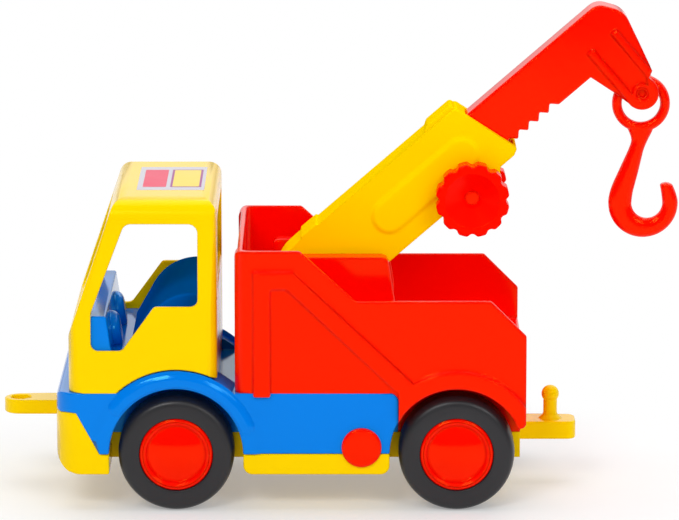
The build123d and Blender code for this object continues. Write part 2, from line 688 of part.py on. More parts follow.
def arm():
    """Sliding arm: a bar with rack teeth underneath and a forked head bent down to the hook pin."""
    tip_h = ARM_TOP_H - ARM_DEPTH
    rows = [
        (ARM_INNER_S, ARM_TOP_H, 0),
        (HEAD_BROW_S, ARM_TOP_H, HEAD_BROW_R),
        (HEAD_NOSE_S, 0, HEAD_BROW_R + 3),
        (HEAD_CHIN_S, HOOK_PIN_H + 6, 0),
        (HOOK_PIN_S, HOOK_PIN_H, 0),
        (HOOK_PIN_S - HOOK_EYE_R, HOOK_PIN_H, 0),
        (HEAD_CHEEK_S, HEAD_CHEEK_H, 3),
        (HEAD_THROAT_S, tip_h, 0.6),
    ]
    for tooth in range(RACK_TEETH):
        tip_s = RACK_END_S - tooth * RACK_PITCH
        rows.append((tip_s, tip_h, 0))
        rows.append((tip_s - RACK_PITCH / 2, tip_h + TOOTH_DEPTH, TOOTH_ROOT_R))
    rows.append((RACK_END_S - RACK_TEETH * RACK_PITCH, tip_h, 0))
    rows.append((ARM_INNER_S, tip_h, 0))
    bar = corner_face(boom_rows(rows))
    bar += boom_disc(HOOK_PIN_S, HOOK_PIN_H, HOOK_EYE_R)
    body = across(bar, -ARM_HALF_WIDTH, ARM_HALF_WIDTH)
    for width, extra in ((HEAD_HALF_WIDTH, 0), (ARM_HALF_WIDTH, HEAD_RIB)):
        head_rows = [
            (HEAD_RIB_LOW_S + extra, HEAD_RIB_TOP_H, 0),
            (HEAD_RIB_HIGH_S - extra, HEAD_RIB_TOP_H, 0),
            (HEAD_RIB_HIGH_S - extra, HOOK_PIN_H + 6, 0),
            (HOOK_PIN_S + HOOK_EYE_R - extra, HOOK_PIN_H, 0),
            (HOOK_PIN_S - HOOK_EYE_R + extra, HOOK_PIN_H, 0),
            (HEAD_RIB_LOW_S + extra, HOOK_PIN_H + 6, 0),
        ]
        panel = corner_face(boom_rows(head_rows))
        panel += boom_disc(HOOK_PIN_S, HOOK_PIN_H, HOOK_EYE_R - extra)
        if extra:
            body -= both_sides(panel & bar, width, BODY_HALF)
        else:
            body += across(panel & bar, -width, width)
    body += both_sides(boom_disc(HOOK_PIN_S, HOOK_PIN_H, HOOK_BOSS_R), HOOK_SLOT_HALF, HEAD_HALF_WIDTH)
    reach = HOOK_RING_R * 2 - HOOK_PIN_R
    fork = boom_disc(HOOK_PIN_S, HOOK_PIN_H, reach) & bar
    body -= across(fork, -HOOK_SLOT_HALF, HOOK_SLOT_HALF)
    return body - across(boom_disc(HOOK_PIN_S, HOOK_PIN_H, HOOK_PIN_R), -BODY_HALF, BODY_HALF)


def hook_pin():
    """Round pin across the fork."""
    face = boom_disc(HOOK_PIN_S, HOOK_PIN_H, HOOK_PIN_R)
    return across(face, -HEAD_HALF_WIDTH, HEAD_HALF_WIDTH)


def pinion():
    """Seven-tooth pinion on its shaft, in mesh with the rack; its flanks are involutes of 45 degrees."""
    base_r = PITCH_R * math.cos(math.pi / 4)
    root_r = max(PITCH_R - PINION_DEDENDUM, base_r)
    space_at_pitch = 2 * (TOOTH_DEPTH - PINION_REACH)
    half_at_pitch = (space_at_pitch - PINION_BACKLASH) / 2 / PITCH_R
    groove = math.floor((RACK_END_S - RACK_PITCH / 2 - PINION_S) / RACK_PITCH)
    groove_s = RACK_END_S - RACK_PITCH / 2 - groove * RACK_PITCH
    phase = (groove_s - PINION_S) / PITCH_R
    radii = [root_r + (PINION_TIP_R - root_r) * step / 4 for step in range(5)]
    flank = []
    for radius in radii:
        roll = math.acos(base_r / radius)
        spread = half_at_pitch + (1 - math.pi / 4) - (math.tan(roll) - roll)
        flank.append((radius, spread))
    rows = []
    for tooth in range(PINION_TEETH):
        middle = phase + tooth * 2 * math.pi / PINION_TEETH
        for radius, spread in flank:
            angle = middle - spread
            rows.append((PINION_S + radius * math.sin(angle), PINION_H + radius * math.cos(angle), 0))
        for radius, spread in reversed(flank):
            angle = middle + spread
            rows.append((PINION_S + radius * math.sin(angle), PINION_H + radius * math.cos(angle), 0))
    gear = across(corner_face(boom_rows(rows)), -PINION_HALF_WIDTH, PINION_HALF_WIDTH)
    end = SLEEVE_HALF_WIDTH + KNOB_GAP + KNOB_GRIP
    return gear + across(boom_disc(PINION_S, PINION_H, SHAFT_R), -end, end)


def knob():
    """Left winding knob: a thick disc with a deep cone-shaped dish and scallops for fingers."""
    inner = SLEEVE_HALF_WIDTH + KNOB_GAP
    outer = inner + KNOB_DEPTH
    body = across(boom_disc(PINION_S, PINION_H, KNOB_R), inner, outer)
    for lobe in range(KNOB_LOBES):
        angle = lobe * 2 * math.pi / KNOB_LOBES
        reach = KNOB_R + KNOB_SCALLOP_R * 0.4
        s = PINION_S + reach * math.cos(angle)
        h = PINION_H + reach * math.sin(angle)
        body -= across(boom_disc(s, h, KNOB_SCALLOP_R), inner, outer)
    dish = Rot(90, 0, 0) * Cone(KNOB_DISH_R, KNOB_EYE_R, KNOB_DISH_DEPTH)
    body -= Pos(-PINION_S, outer - KNOB_DISH_DEPTH / 2, PINION_H) * dish
    return body - across(boom_disc(PINION_S, PINION_H, SHAFT_R), inner, inner + KNOB_GRIP)


def hook():
    """Hook hanging from the pin by its ring; drawn upright in the truck's own frame."""
    pin = (BOOM_PLACE * Pos(-HOOK_PIN_S, 0, HOOK_PIN_H)).position
    ring_z = -(HOOK_RING_HOLE_R - HOOK_PIN_R - HOOK_HANG_GAP)
    bowl_z = -62.4
    # shank: x, z from the pin, corner radius
    shank_rows = [
        (-8.4, -18.8, 0),
        (-1.6, -33.0, 14),
        (4.5, bowl_z, 0),
        (HOOK_BOWL_R - 1.8, bowl_z, 0),
        (15.6, -53.0, 10),
        (4.2, -27.8, 5),
        (10.0, -18.8, 0),
    ]
    tip_rows = [
        (-20.9, bowl_z, 0),
        (-17.8, -52.5, 1),
        (-15.9, -50.8, 1),
        (-10.6, -51.7, 1),
        (-12.3, bowl_z, 0),
    ]
    half_plane = Pos(0, bowl_z - HOOK_BOWL_R) * Rectangle(4 * HOOK_BOWL_R, 2 * HOOK_BOWL_R)
    face = disc(-1.8, bowl_z, HOOK_BOWL_R) & half_plane
    face += corner_face(shank_rows)
    face += corner_face(tip_rows)
    face -= disc(-3.9, bowl_z, HOOK_MOUTH_R)
    face += disc(0, ring_z, HOOK_RING_R)
    face -= disc(0, ring_z, HOOK_RING_HOLE_R)
    return Pos(pin.X, 0, pin.Z) * across(face, -HOOK_HALF_THICK, HOOK_HALF_THICK)


def half_of(solid, side):
    """The left (+1) or right (-1) half of a solid, cut on the middle plane."""
    size = 4 * BED_TOP_Z
    return solid & (Pos(0, side * size / 2, 0) * Box(2 * size, size, 2 * size))


def build():
    """Every node by name."""
    nodes = {
        "chassis": chassis(),
        "lower_body": lower_body(),
        "cab_shell": cab_shell(),
        "dashboard": dashboard(),
        "steering_discs": steering_discs(),
        "seat_bench": seat(),
        "bed": bed(),
        "boom_pedestal": pedestal(),
        "boom_pin": boom_pin(),
        "side_button_left": side_button(),
        "side_button_right": mirror(side_button(), Plane.XZ),
    }
    nodes.update(wheel_nodes())
    whole_sleeve = sleeve()
    nodes["boom_sleeve_left"] = BOOM_PLACE * half_of(whole_sleeve, 1)
    nodes["boom_sleeve_right"] = BOOM_PLACE * half_of(whole_sleeve, -1)
    nodes["boom_arm"] = BOOM_PLACE * arm()
    nodes["hook_pin"] = BOOM_PLACE * hook_pin()
    nodes["pinion"] = BOOM_PLACE * pinion()
    nodes["knob_left"] = BOOM_PLACE * knob()
    nodes["knob_right"] = BOOM_PLACE * mirror(knob(), Plane.XZ)
    nodes["hook"] = hook()
    return nodes


os.makedirs("parts", exist_ok=True)
for node_name, solid in build().items():
    export_step(solid, f"parts/{node_name}.step")
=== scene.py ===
import math

import bmesh
import bpy
import numpy as np
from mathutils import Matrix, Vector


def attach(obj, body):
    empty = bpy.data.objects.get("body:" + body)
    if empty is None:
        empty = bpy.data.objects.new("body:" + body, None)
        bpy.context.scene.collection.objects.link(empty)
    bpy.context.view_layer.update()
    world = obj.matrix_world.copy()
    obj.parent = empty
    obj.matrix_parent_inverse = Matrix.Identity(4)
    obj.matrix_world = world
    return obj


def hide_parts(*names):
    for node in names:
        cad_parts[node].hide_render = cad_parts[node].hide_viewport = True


# The studio table
# A matt white table top runs out under and before the toy. Two soft boxes stand to the left and right of
# the camera, a wide weak one hangs above, and a white sweep behind the table shows in whatever is glossy.
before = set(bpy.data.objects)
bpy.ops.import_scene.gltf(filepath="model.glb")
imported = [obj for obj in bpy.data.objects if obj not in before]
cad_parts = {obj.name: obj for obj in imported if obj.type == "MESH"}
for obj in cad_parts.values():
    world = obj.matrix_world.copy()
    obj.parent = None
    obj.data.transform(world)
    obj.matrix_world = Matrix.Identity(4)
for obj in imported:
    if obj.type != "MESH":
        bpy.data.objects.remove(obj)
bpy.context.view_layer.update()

VIEW_DISTANCE = 2.634
VIEW_HEIGHT = math.radians(11.3)
VIEW_TARGET = (0.0003, 0.0, 0.1249)
LENS = 254.0
camera_data = bpy.data.cameras.new("camera")
camera_data.lens = LENS
camera_data.clip_end = 50
camera = bpy.data.objects.new("camera", camera_data)
camera.location = (
    VIEW_TARGET[0],
    VIEW_TARGET[1] + VIEW_DISTANCE * math.cos(VIEW_HEIGHT),
    VIEW_TARGET[2] + VIEW_DISTANCE * math.sin(VIEW_HEIGHT),
)
camera.rotation_euler = (math.pi / 2 - VIEW_HEIGHT, 0, math.pi)
bpy.context.scene.collection.objects.link(camera)
bpy.context.scene.camera = camera
bpy.context.scene.view_settings.view_transform = "Standard"


def put_mesh(name, points, faces):
    """Object from arrays of points in metres and faces, smooth all over."""
    mesh = bpy.data.meshes.new(name)
    mesh.from_pydata(points, [], faces)
    mesh.polygons.foreach_set("use_smooth", np.ones(len(mesh.polygons), bool))
    mesh.update()
    made = bpy.data.objects.new(name, mesh)
    bpy.context.scene.collection.objects.link(made)
    return made


def joined(tree, source, sink):
    """Join one shader socket to another."""
    tree.links.new(source, sink)


TABLE_FRONT = 1.6
TABLE_REACH = 7.0
TABLE_WHITE = 0.93
TABLE_SPECKLE = 0.01
TOY_HALF_LENGTH = 0.20
TOY_WIDTH_SHARE = 0.62
FADE_START = 1.0
FADE_END = 1.7
SHADOW_LIFT = 0.3
corners = np.array([(-1, -1, 0), (1, -1, 0), (1, 0, 0), (-1, 0, 0)], float) * TABLE_REACH
corners[2:, 1] = TABLE_FRONT
table_top = put_mesh("table_top", corners, [(0, 1, 2, 3)])


def ray_is_looking(tree):
    """Light Path's camera, glossy and transmission rays joined: 1 where the white room is to be seen."""
    path = tree.nodes.new("ShaderNodeLightPath")
    either = tree.nodes.new("ShaderNodeMath")
    either.operation = "MAXIMUM"
    joined(tree, path.outputs["Is Camera Ray"], either.inputs[0])
    joined(tree, path.outputs["Is Glossy Ray"], either.inputs[1])
    any_of_them = tree.nodes.new("ShaderNodeMath")
    any_of_them.operation = "MAXIMUM"
    joined(tree, either.outputs["Value"], any_of_them.inputs[0])
    joined(tree, path.outputs["Is Transmission Ray"], any_of_them.inputs[1])
    return path, any_of_them.outputs["Value"]


table_paint = bpy.data.materials.new("table_paint")
table_paint.use_nodes = True
table_tree = table_paint.node_tree
table_shader = table_tree.nodes["Principled BSDF"]
table_shader.inputs["Roughness"].default_value = 0.5
table_shader.inputs["Specular IOR Level"].default_value = 0.2
table_place = table_tree.nodes.new("ShaderNodeTexCoord")
table_speckle = table_tree.nodes.new("ShaderNodeTexNoise")
table_speckle.inputs["Scale"].default_value = 60
table_tone = table_tree.nodes.new("ShaderNodeMapRange")
table_tone.inputs["To Min"].default_value = TABLE_WHITE - TABLE_SPECKLE
table_tone.inputs["To Max"].default_value = TABLE_WHITE + TABLE_SPECKLE
flatten = table_tree.nodes.new("ShaderNodeMapping")
flatten.inputs["Scale"].default_value = (1 / TOY_HALF_LENGTH, 1 / TOY_HALF_LENGTH / TOY_WIDTH_SHARE, 0)
far_out = table_tree.nodes.new("ShaderNodeVectorMath")
far_out.operation = "LENGTH"
fade = table_tree.nodes.new("ShaderNodeMapRange")
fade.interpolation_type = "SMOOTHSTEP"
fade.inputs["From Min"].default_value = FADE_START
fade.inputs["From Max"].default_value = FADE_END
fade.inputs["To Min"].default_value = SHADOW_LIFT
seen_white = table_tree.nodes.new("ShaderNodeMath")
seen_white.operation = "MULTIPLY"
white_out = table_tree.nodes.new("ShaderNodeEmission")
fade_mix = table_tree.nodes.new("ShaderNodeMixShader")
_, table_looking = ray_is_looking(table_tree)
joined(table_tree, table_place.outputs["Object"], table_speckle.inputs["Vector"])
joined(table_tree, table_speckle.outputs["Fac"], table_tone.inputs["Value"])
joined(table_tree, table_tone.outputs["Result"], table_shader.inputs["Base Color"])
joined(table_tree, table_place.outputs["Object"], flatten.inputs["Vector"])
joined(table_tree, flatten.outputs["Vector"], far_out.inputs[0])
joined(table_tree, far_out.outputs["Value"], fade.inputs["Value"])
joined(table_tree, fade.outputs["Result"], seen_white.inputs[0])
joined(table_tree, table_looking, seen_white.inputs[1])
joined(table_tree, seen_white.outputs["Value"], fade_mix.inputs["Fac"])
joined(table_tree, table_shader.outputs["BSDF"], fade_mix.inputs[1])
joined(table_tree, white_out.outputs["Emission"], fade_mix.inputs[2])
joined(table_tree, fade_mix.outputs["Shader"], table_tree.nodes["Material Output"].inputs["Surface"])
table_top.data.materials.append(table_paint)

# lamp name, place, size across and down, power
LAMPS = [
    ("left_box", (0.72, 2.0, 1.60), (0.85, 0.60), 20),
    ("right_box", (-1.15, 1.95, 1.35), (1.1, 0.60), 14),
    ("top_light", (0.0, -0.2, 1.6), (1.8, 1.2), 13),
    ("back_light", (-0.9, -1.8, 1.6), (1.2, 0.8), 5),
]
for lamp_name, place, (across_size, down_size), power in LAMPS:
    lamp_data = bpy.data.lights.new(lamp_name, "AREA")
    lamp_data.shape = "RECTANGLE"
    lamp_data.size = across_size
    lamp_data.size_y = down_size
    lamp_data.energy = power
    lamp = bpy.data.objects.new(lamp_name, lamp_data)
    lamp.location = place
    aim = Vector(VIEW_TARGET) - lamp.location
    lamp.rotation_euler = aim.to_track_quat("-Z", "Y").to_euler()
    bpy.context.scene.collection.objects.link(lamp)

AMBIENT = 0.42
ROOM_DIM = 0.08
SWEEP_HALF = 0.30
SKIRTING_LOW, SKIRTING_HIGH, SKIRTING_DIM = -0.04, 0.15, 0.30
world = bpy.data.worlds.new("studio")
bpy.context.scene.world = world
world.use_nodes = True
sky = world.node_tree
sky_shader = sky.nodes["Background"]
sky_shader.inputs["Color"].default_value = (1, 1, 1, 1)
direction = sky.nodes.new("ShaderNodeTexCoord")
split = sky.nodes.new("ShaderNodeSeparateXYZ")
sweep = sky.nodes.new("ShaderNodeMapRange")
sweep.interpolation_type = "SMOOTHSTEP"
sweep.inputs["From Min"].default_value = SWEEP_HALF
sweep.inputs["From Max"].default_value = -SWEEP_HALF
sweep.inputs["To Min"].default_value = ROOM_DIM
sweep.inputs["To Max"].default_value = 1.0
skirting = sky.nodes.new("ShaderNodeMapRange")
skirting.interpolation_type = "SMOOTHSTEP"
skirting.inputs["From Min"].default_value = SKIRTING_LOW
skirting.inputs["From Max"].default_value = SKIRTING_HIGH
skirting.inputs["To Min"].default_value = SKIRTING_DIM
skirting.inputs["To Max"].default_value = 1.0
sweep_part = sky.nodes.new("ShaderNodeMath")
sweep_part.operation = "MULTIPLY"
looking = sky.nodes.new("ShaderNodeMix")
looking.inputs["A"].default_value = AMBIENT
reflected = sky.nodes.new("ShaderNodeMix")
reflected.inputs["A"].default_value = 1.0
sky_path, sky_looking = ray_is_looking(sky)
joined(sky, direction.outputs["Generated"], split.inputs["Vector"])
joined(sky, split.outputs["Y"], sweep.inputs["Value"])
joined(sky, sky_path.outputs["Is Glossy Ray"], reflected.inputs["Factor"])
joined(sky, split.outputs["Z"], skirting.inputs["Value"])
joined(sky, sweep.outputs["Result"], sweep_part.inputs[0])
joined(sky, skirting.outputs["Result"], sweep_part.inputs[1])
joined(sky, sweep_part.outputs["Value"], reflected.inputs["B"])
joined(sky, sky_looking, looking.inputs["Factor"])
joined(sky, reflected.outputs["Result"], looking.inputs["B"])
joined(sky, looking.outputs["Result"], sky_shader.inputs["Strength"])

# Yellow chassis
# The bottom moulding of the toy: front bumper, tow tab, side sills, axle core and rear hitch with its ball.
# One shot of bright yellow plastic, its edges rounded by the mould.


def moulding_group():
    """Node group for moulded plastic: slow flow marks in the colour, an uneven gloss and a fine relief.

    Colour is the pigment darkened by a slow noise stretched along the toy; roughness is the gloss plus
    a soft unevenness and dust; height adds a fine grain to the slow waviness of a moulded skin.
    """
    group = bpy.data.node_groups.new("moulded_plastic", "ShaderNodeTree")
    # socket name, kind, value
    wanted = [
        ("Pigment", "NodeSocketColor", (1, 1, 1, 1)),
        ("Flow depth", "NodeSocketFloat", 0.05),
        ("Gloss", "NodeSocketFloat", 0.22),
        ("Unevenness", "NodeSocketFloat", 0.06),
    ]
    for socket_name, kind, value in wanted:
        socket = group.interface.new_socket(socket_name, in_out="INPUT", socket_type=kind)
        socket.default_value = value
    group.interface.new_socket("Colour", in_out="OUTPUT", socket_type="NodeSocketColor")
    group.interface.new_socket("Roughness", in_out="OUTPUT", socket_type="NodeSocketFloat")
    group.interface.new_socket("Height", in_out="OUTPUT", socket_type="NodeSocketFloat")
    given = group.nodes.new("NodeGroupInput")
    result = group.nodes.new("NodeGroupOutput")
    place = group.nodes.new("ShaderNodeTexCoord")

    def noise(scale, detail, stretch=(1, 1, 1)):
        """Noise from 0 to 1 over the object's own places, times the stretch."""
        mapping = group.nodes.new("ShaderNodeMapping")
        mapping.inputs["Scale"].default_value = stretch
        texture = group.nodes.new("ShaderNodeTexNoise")
        texture.inputs["Scale"].default_value = scale
        texture.inputs["Detail"].default_value = detail
        joined(group, place.outputs["Object"], mapping.inputs["Vector"])
        joined(group, mapping.outputs["Vector"], texture.inputs["Vector"])
        return texture.outputs["Fac"]

    def ranged(source, low, high, to_low, to_high):
        """The source's span low to high carried over to to_low to to_high, and held at its ends."""
        span = group.nodes.new("ShaderNodeMapRange")
        span.inputs["From Min"].default_value = low
        span.inputs["From Max"].default_value = high
        span.inputs["To Min"].default_value = to_low
        span.inputs["To Max"].default_value = to_high
        joined(group, source, span.inputs["Value"])
        return span.outputs["Result"]

    def combine(kind, first, second):
        """One sum or product of two values, each a number or a socket."""
        step = group.nodes.new("ShaderNodeMath")
        step.operation = kind
        for index, value in enumerate((first, second)):
            if isinstance(value, float):
                step.inputs[index].default_value = value
            else:
                joined(group, value, step.inputs[index])
        return step.outputs["Value"]

    flow = ranged(noise(14, 3, (0.5, 1, 1.3)), 0.3, 0.7, 0.0, 1.0)
    shade = combine("SUBTRACT", 1.0, combine("MULTIPLY", flow, given.outputs["Flow depth"]))
    tint = group.nodes.new("ShaderNodeVectorMath")
    tint.operation = "SCALE"
    joined(group, given.outputs["Pigment"], tint.inputs[0])
    joined(group, shade, tint.inputs["Scale"])
    handled = ranged(noise(30, 3), 0.3, 0.7, -0.5, 0.5)
    dust = ranged(noise(900, 2), 0.35, 0.75, -0.2, 0.2)
    marks = combine("MULTIPLY", combine("ADD", handled, dust), given.outputs["Unevenness"])
    height = combine("ADD", combine("MULTIPLY", noise(1100, 1), 0.002), noise(22, 1))
    joined(group, tint.outputs["Vector"], result.inputs["Colour"])
    joined(group, combine("ADD", given.outputs["Gloss"], marks), result.inputs["Roughness"])
    joined(group, height, result.inputs["Height"])
    return group


moulding = moulding_group()
SKIN_RELIEF = 0.0005
RELIEF_STRENGTH = 0.2


def moulded(
    name, pigment, gloss, flow_depth=0.04, unevenness=0.06, specular=0.3, sheen=(1, 1, 1), edge=0.0007
):
    """A plastic of one pigment, with the moulding group feeding its colour, roughness and relief.

    The edge is the radius in metres over which the skin's shading turns softly at bends.
    """
    material = bpy.data.materials.new(name)
    material.use_nodes = True
    tree = material.node_tree
    shader = tree.nodes["Principled BSDF"]
    shader.inputs["Specular IOR Level"].default_value = specular
    shader.inputs["Specular Tint"].default_value = (*sheen, 1)
    marks = tree.nodes.new("ShaderNodeGroup")
    marks.node_tree = moulding
    marks.inputs["Pigment"].default_value = (*pigment, 1)
    marks.inputs["Flow depth"].default_value = flow_depth
    marks.inputs["Gloss"].default_value = gloss
    marks.inputs["Unevenness"].default_value = unevenness
    skin_relief = tree.nodes.new("ShaderNodeBump")
    skin_relief.inputs["Strength"].default_value = RELIEF_STRENGTH
    skin_relief.inputs["Distance"].default_value = SKIN_RELIEF
    joined(tree, marks.outputs["Colour"], shader.inputs["Base Color"])
    joined(tree, marks.outputs["Roughness"], shader.inputs["Roughness"])
    joined(tree, marks.outputs["Height"], skin_relief.inputs["Height"])
    mould_edge = tree.nodes.new("ShaderNodeBevel")
    mould_edge.samples = 4
    mould_edge.inputs["Radius"].default_value = edge
    joined(tree, mould_edge.outputs["Normal"], skin_relief.inputs["Normal"])
    joined(tree, skin_relief.outputs["Normal"], shader.inputs["Normal"])
    return material


def fitted(piece, body, node, plastic):
    """Give a finished piece its plastic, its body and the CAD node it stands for."""
    piece.data.materials.clear()
    piece.data.materials.append(plastic)
    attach(piece, body)
    if node:
        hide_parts(node)
    return piece


SHARP_BEND = 25
NARROW_COSINE, OPPOSITE_COSINE = 0.5, -0.8
SIDE_ROOM = 1.3
MOST_ROUNDED = 3
LEAN_LIMIT = math.cos(math.radians(40))
MERGE_DISTANCE = 2e-6
FLAT_ANGLE = math.radians(0.4)


def edge_softness(mesh, width, hollow_share, softer):
    """Rounding of every edge in metres: none where two faces meet at under SHARP_BEND degrees, width on an
    outer edge, a share of it in a hollow, and the table's own two where an edge's middle lies in its box.

    An edge is an outer one where (n1 x n2) . (b - a) > 0, a to b being its direction in the first face.
    """
    loops = len(mesh.loops)
    edge_of = np.empty(loops, int)
    corner_of = np.empty(loops, int)
    mesh.loops.foreach_get("edge_index", edge_of)
    mesh.loops.foreach_get("vertex_index", corner_of)
    sides = np.empty(len(mesh.polygons), int)
    normals = np.empty((len(mesh.polygons), 3))
    mesh.polygons.foreach_get("loop_total", sides)
    mesh.polygons.foreach_get("normal", normals.ravel())
    ends = np.empty((len(mesh.edges), 2), int)
    mesh.edges.foreach_get("vertices", ends.ravel())
    points = np.empty((len(mesh.vertices), 3))
    mesh.vertices.foreach_get("co", points.ravel())
    pair = np.argsort(edge_of, kind="stable").reshape(-1, 2)
    face_of = np.repeat(np.arange(len(sides)), sides)
    first, second = normals[face_of[pair[:, 0]]], normals[face_of[pair[:, 1]]]
    start = corner_of[pair[:, 0]]
    along = points[ends.sum(axis=1) - start] - points[start]
    bend = np.degrees(np.arccos(np.clip((first * second).sum(axis=1), -1, 1)))
    outer = (np.cross(first, second) * along).sum(axis=1) > 0
    soft = np.where(outer, width, width * hollow_share)
    middle = points[ends].mean(axis=1)
    for low, high, box_width, box_share in softer:
        inside = np.all((middle > np.array(low) / 1000) & (middle < np.array(high) / 1000), axis=1)
        soft = np.where(inside, np.where(outer, box_width, box_width * box_share), soft)
    return edges_with_room(points, ends, np.where(bend > SHARP_BEND, soft, 0.0))


def edges_with_room(points, ends, soft):
    """The roundings, without those at a corner too crowded for one.

    Edges that share a point are taken in pairs at the angle t. A corner is crowded where a rounding w
    meets an edge with cos t > NARROW_COSINE, where more than MOST_ROUNDED rounded edges meet, or where an
    edge of length l, not running straight on, has l sin t < SIDE_ROOM w, or l < 2 w if it is rounded too.
    """
    run = points[ends[:, 1]] - points[ends[:, 0]]
    length = np.linalg.norm(run, axis=1)
    heading = run / length[:, None]
    owner = np.tile(np.arange(len(ends)), 2)
    at = np.concatenate([ends[:, 0], ends[:, 1]])
    away = np.concatenate([heading, -heading])
    order = np.argsort(at, kind="stable")
    owner, at, away = owner[order], at[order], away[order]
    first_of = np.searchsorted(at, at)
    degree = np.searchsorted(at, at, side="right") - first_of
    place = np.arange(len(at)) - first_of
    for _ in range(3):
        rounded = soft > 0
        crowded = np.bincount(at[rounded[owner]], minlength=len(points)) > MOST_ROUNDED
        for step in range(1, int(degree.max())):
            partner = first_of + (place + step) % degree
            cosine = np.clip((away * away[partner]).sum(axis=1), -1, 1)
            beside = owner[partner]
            width = soft[owner]
            sideways = length[beside] * np.sqrt(1 - cosine ** 2)
            room = np.where(rounded[beside], length[beside] / 2, sideways / SIDE_ROOM)
            tight = (cosine > NARROW_COSINE) | ((cosine > OPPOSITE_COSINE) & (room < width))
            crowded[at[tight & (step < degree) & (width > 0)]] = True
        soft = np.where(crowded[ends].any(axis=1), 0.0, soft)
    return soft


def evened_normals(mesh):
    """Shading normal of every face corner, so that flats stay flat and only the roundings curve.

    It is the sum of area times normal over the faces about the corner's point that lean little from the
    corner's own face: sum(A n) for n . m > LEAN_LIMIT.
    """
    sides = np.empty(len(mesh.polygons), int)
    area = np.empty(len(mesh.polygons))
    lean = np.empty((len(mesh.polygons), 3))
    corner_of = np.empty(len(mesh.loops), int)
    mesh.polygons.foreach_get("loop_total", sides)
    mesh.polygons.foreach_get("area", area)
    mesh.polygons.foreach_get("normal", lean.ravel())
    mesh.loops.foreach_get("vertex_index", corner_of)
    face_of = np.repeat(np.arange(len(sides)), sides)
    order = np.argsort(corner_of, kind="stable")
    at, face = corner_of[order], face_of[order]
    first_of = np.searchsorted(at, at)
    degree = np.searchsorted(at, at, side="right") - first_of
    place = np.arange(len(at)) - first_of
    total = lean[face] * area[face][:, None]
    for step in range(1, int(degree.max())):
        other = face[first_of + (place + step) % degree]
        near = ((lean[face] * lean[other]).sum(axis=1) > LEAN_LIMIT) & (step < degree)
        total += lean[other] * (area[other] * near)[:, None]
    normals = np.empty_like(total)
    normals[order] = total / np.maximum(np.linalg.norm(total, axis=1), 1e-15)[:, None]
    return normals.tolist()


def softened(node, body, plastic, width, hollow_share=0.4, softer=(), shift=None):
    """The CAD moulding with its edges rounded: doubles merged, flat faces joined, then bevelled.

    The table softer holds rows of low corner, high corner in millimetres, width in metres, hollow share.
    """
    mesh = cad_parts[node].data.copy()
    mesh.name = node + "_moulding"
    work = bmesh.new()
    work.from_mesh(mesh)
    bmesh.ops.remove_doubles(work, verts=work.verts, dist=MERGE_DISTANCE)
    bmesh.ops.dissolve_limit(work, angle_limit=FLAT_ANGLE, verts=work.verts, edges=work.edges)
    work.to_mesh(mesh)
    work.free()
    if mesh.has_custom_normals:
        mesh.attributes.remove(mesh.attributes["custom_normal"])
    if shift:
        points = np.empty((len(mesh.vertices), 3))
        mesh.vertices.foreach_get("co", points.ravel())
        mesh.vertices.foreach_set("co", shift(points).ravel())
        mesh.update()
    soft = edge_softness(mesh, width, hollow_share, softer)
    weight = mesh.attributes.new("bevel_weight_edge", "FLOAT", "EDGE")
    weight.data.foreach_set("value", soft / soft.max())
    sharp = bpy.data.objects.new(node + "_sharp", mesh)
    bpy.context.scene.collection.objects.link(sharp)
    rounding = sharp.modifiers.new("edges", "BEVEL")
    rounding.width = soft.max()
    rounding.segments = 3
    rounding.limit_method = "WEIGHT"
    rounding.harden_normals = False
    rounding.use_clamp_overlap = False
    seen = sharp.evaluated_get(bpy.context.evaluated_depsgraph_get())
    rounded = bpy.data.meshes.new_from_object(seen)
    rounded.name = node + "_moulding"
    bpy.data.objects.remove(sharp)
    rounded.polygons.foreach_set("use_smooth", np.ones(len(rounded.polygons), bool))
    rounded.normals_split_custom_set(evened_normals(rounded))
    piece = bpy.data.objects.new(node + "_moulding", rounded)
    bpy.context.scene.collection.objects.link(piece)
    return fitted(piece, body, node, plastic)


TANGENT_RUN = 0.12


def rounded_line(rows, steps=7, looped=False):
    """Line through rows of (a, b, radius), every corner turned by an arc of its radius.

    The arc about c = p + m r / sin(h) runs between the points p + d r / tan(h) on the two legs d,
    m being the middle direction and h half the corner's angle. A tangent run of TANGENT_RUN r closes
    each end of the arc.
    """
    table = np.asarray(rows, float)
    here = table[:, :2]
    back = np.roll(here, 1, axis=0) - here
    ahead = np.roll(here, -1, axis=0) - here
    back /= np.linalg.norm(back, axis=1)[:, None]
    ahead /= np.linalg.norm(ahead, axis=1)[:, None]
    pieces = []
    for index, (point, radius) in enumerate(zip(here, table[:, 2])):
        at_end = not looped and index in (0, len(rows) - 1)
        if at_end or radius == 0:
            pieces.append(point[None])
            continue
        d1, d2 = back[index], ahead[index]
        half = math.acos(float(np.clip(d1 @ d2, -1, 1))) / 2
        middle = (d1 + d2) / np.linalg.norm(d1 + d2)
        centre = point + middle * radius / math.sin(half)
        reach = radius / math.tan(half)
        start, finish = point + d1 * reach - centre, point + d2 * reach - centre
        turn = math.pi - 2 * half
        part = np.linspace(0, 1, steps)[:, None]
        arc = centre + (np.sin((1 - part) * turn) * start + np.sin(part * turn) * finish) / math.sin(turn)
        run_in = centre + start + d1 * radius * TANGENT_RUN
        run_out = centre + finish + d2 * radius * TANGENT_RUN
        pieces.append(np.vstack([run_in[None], arc, run_out[None]]))
    return np.vstack(pieces)


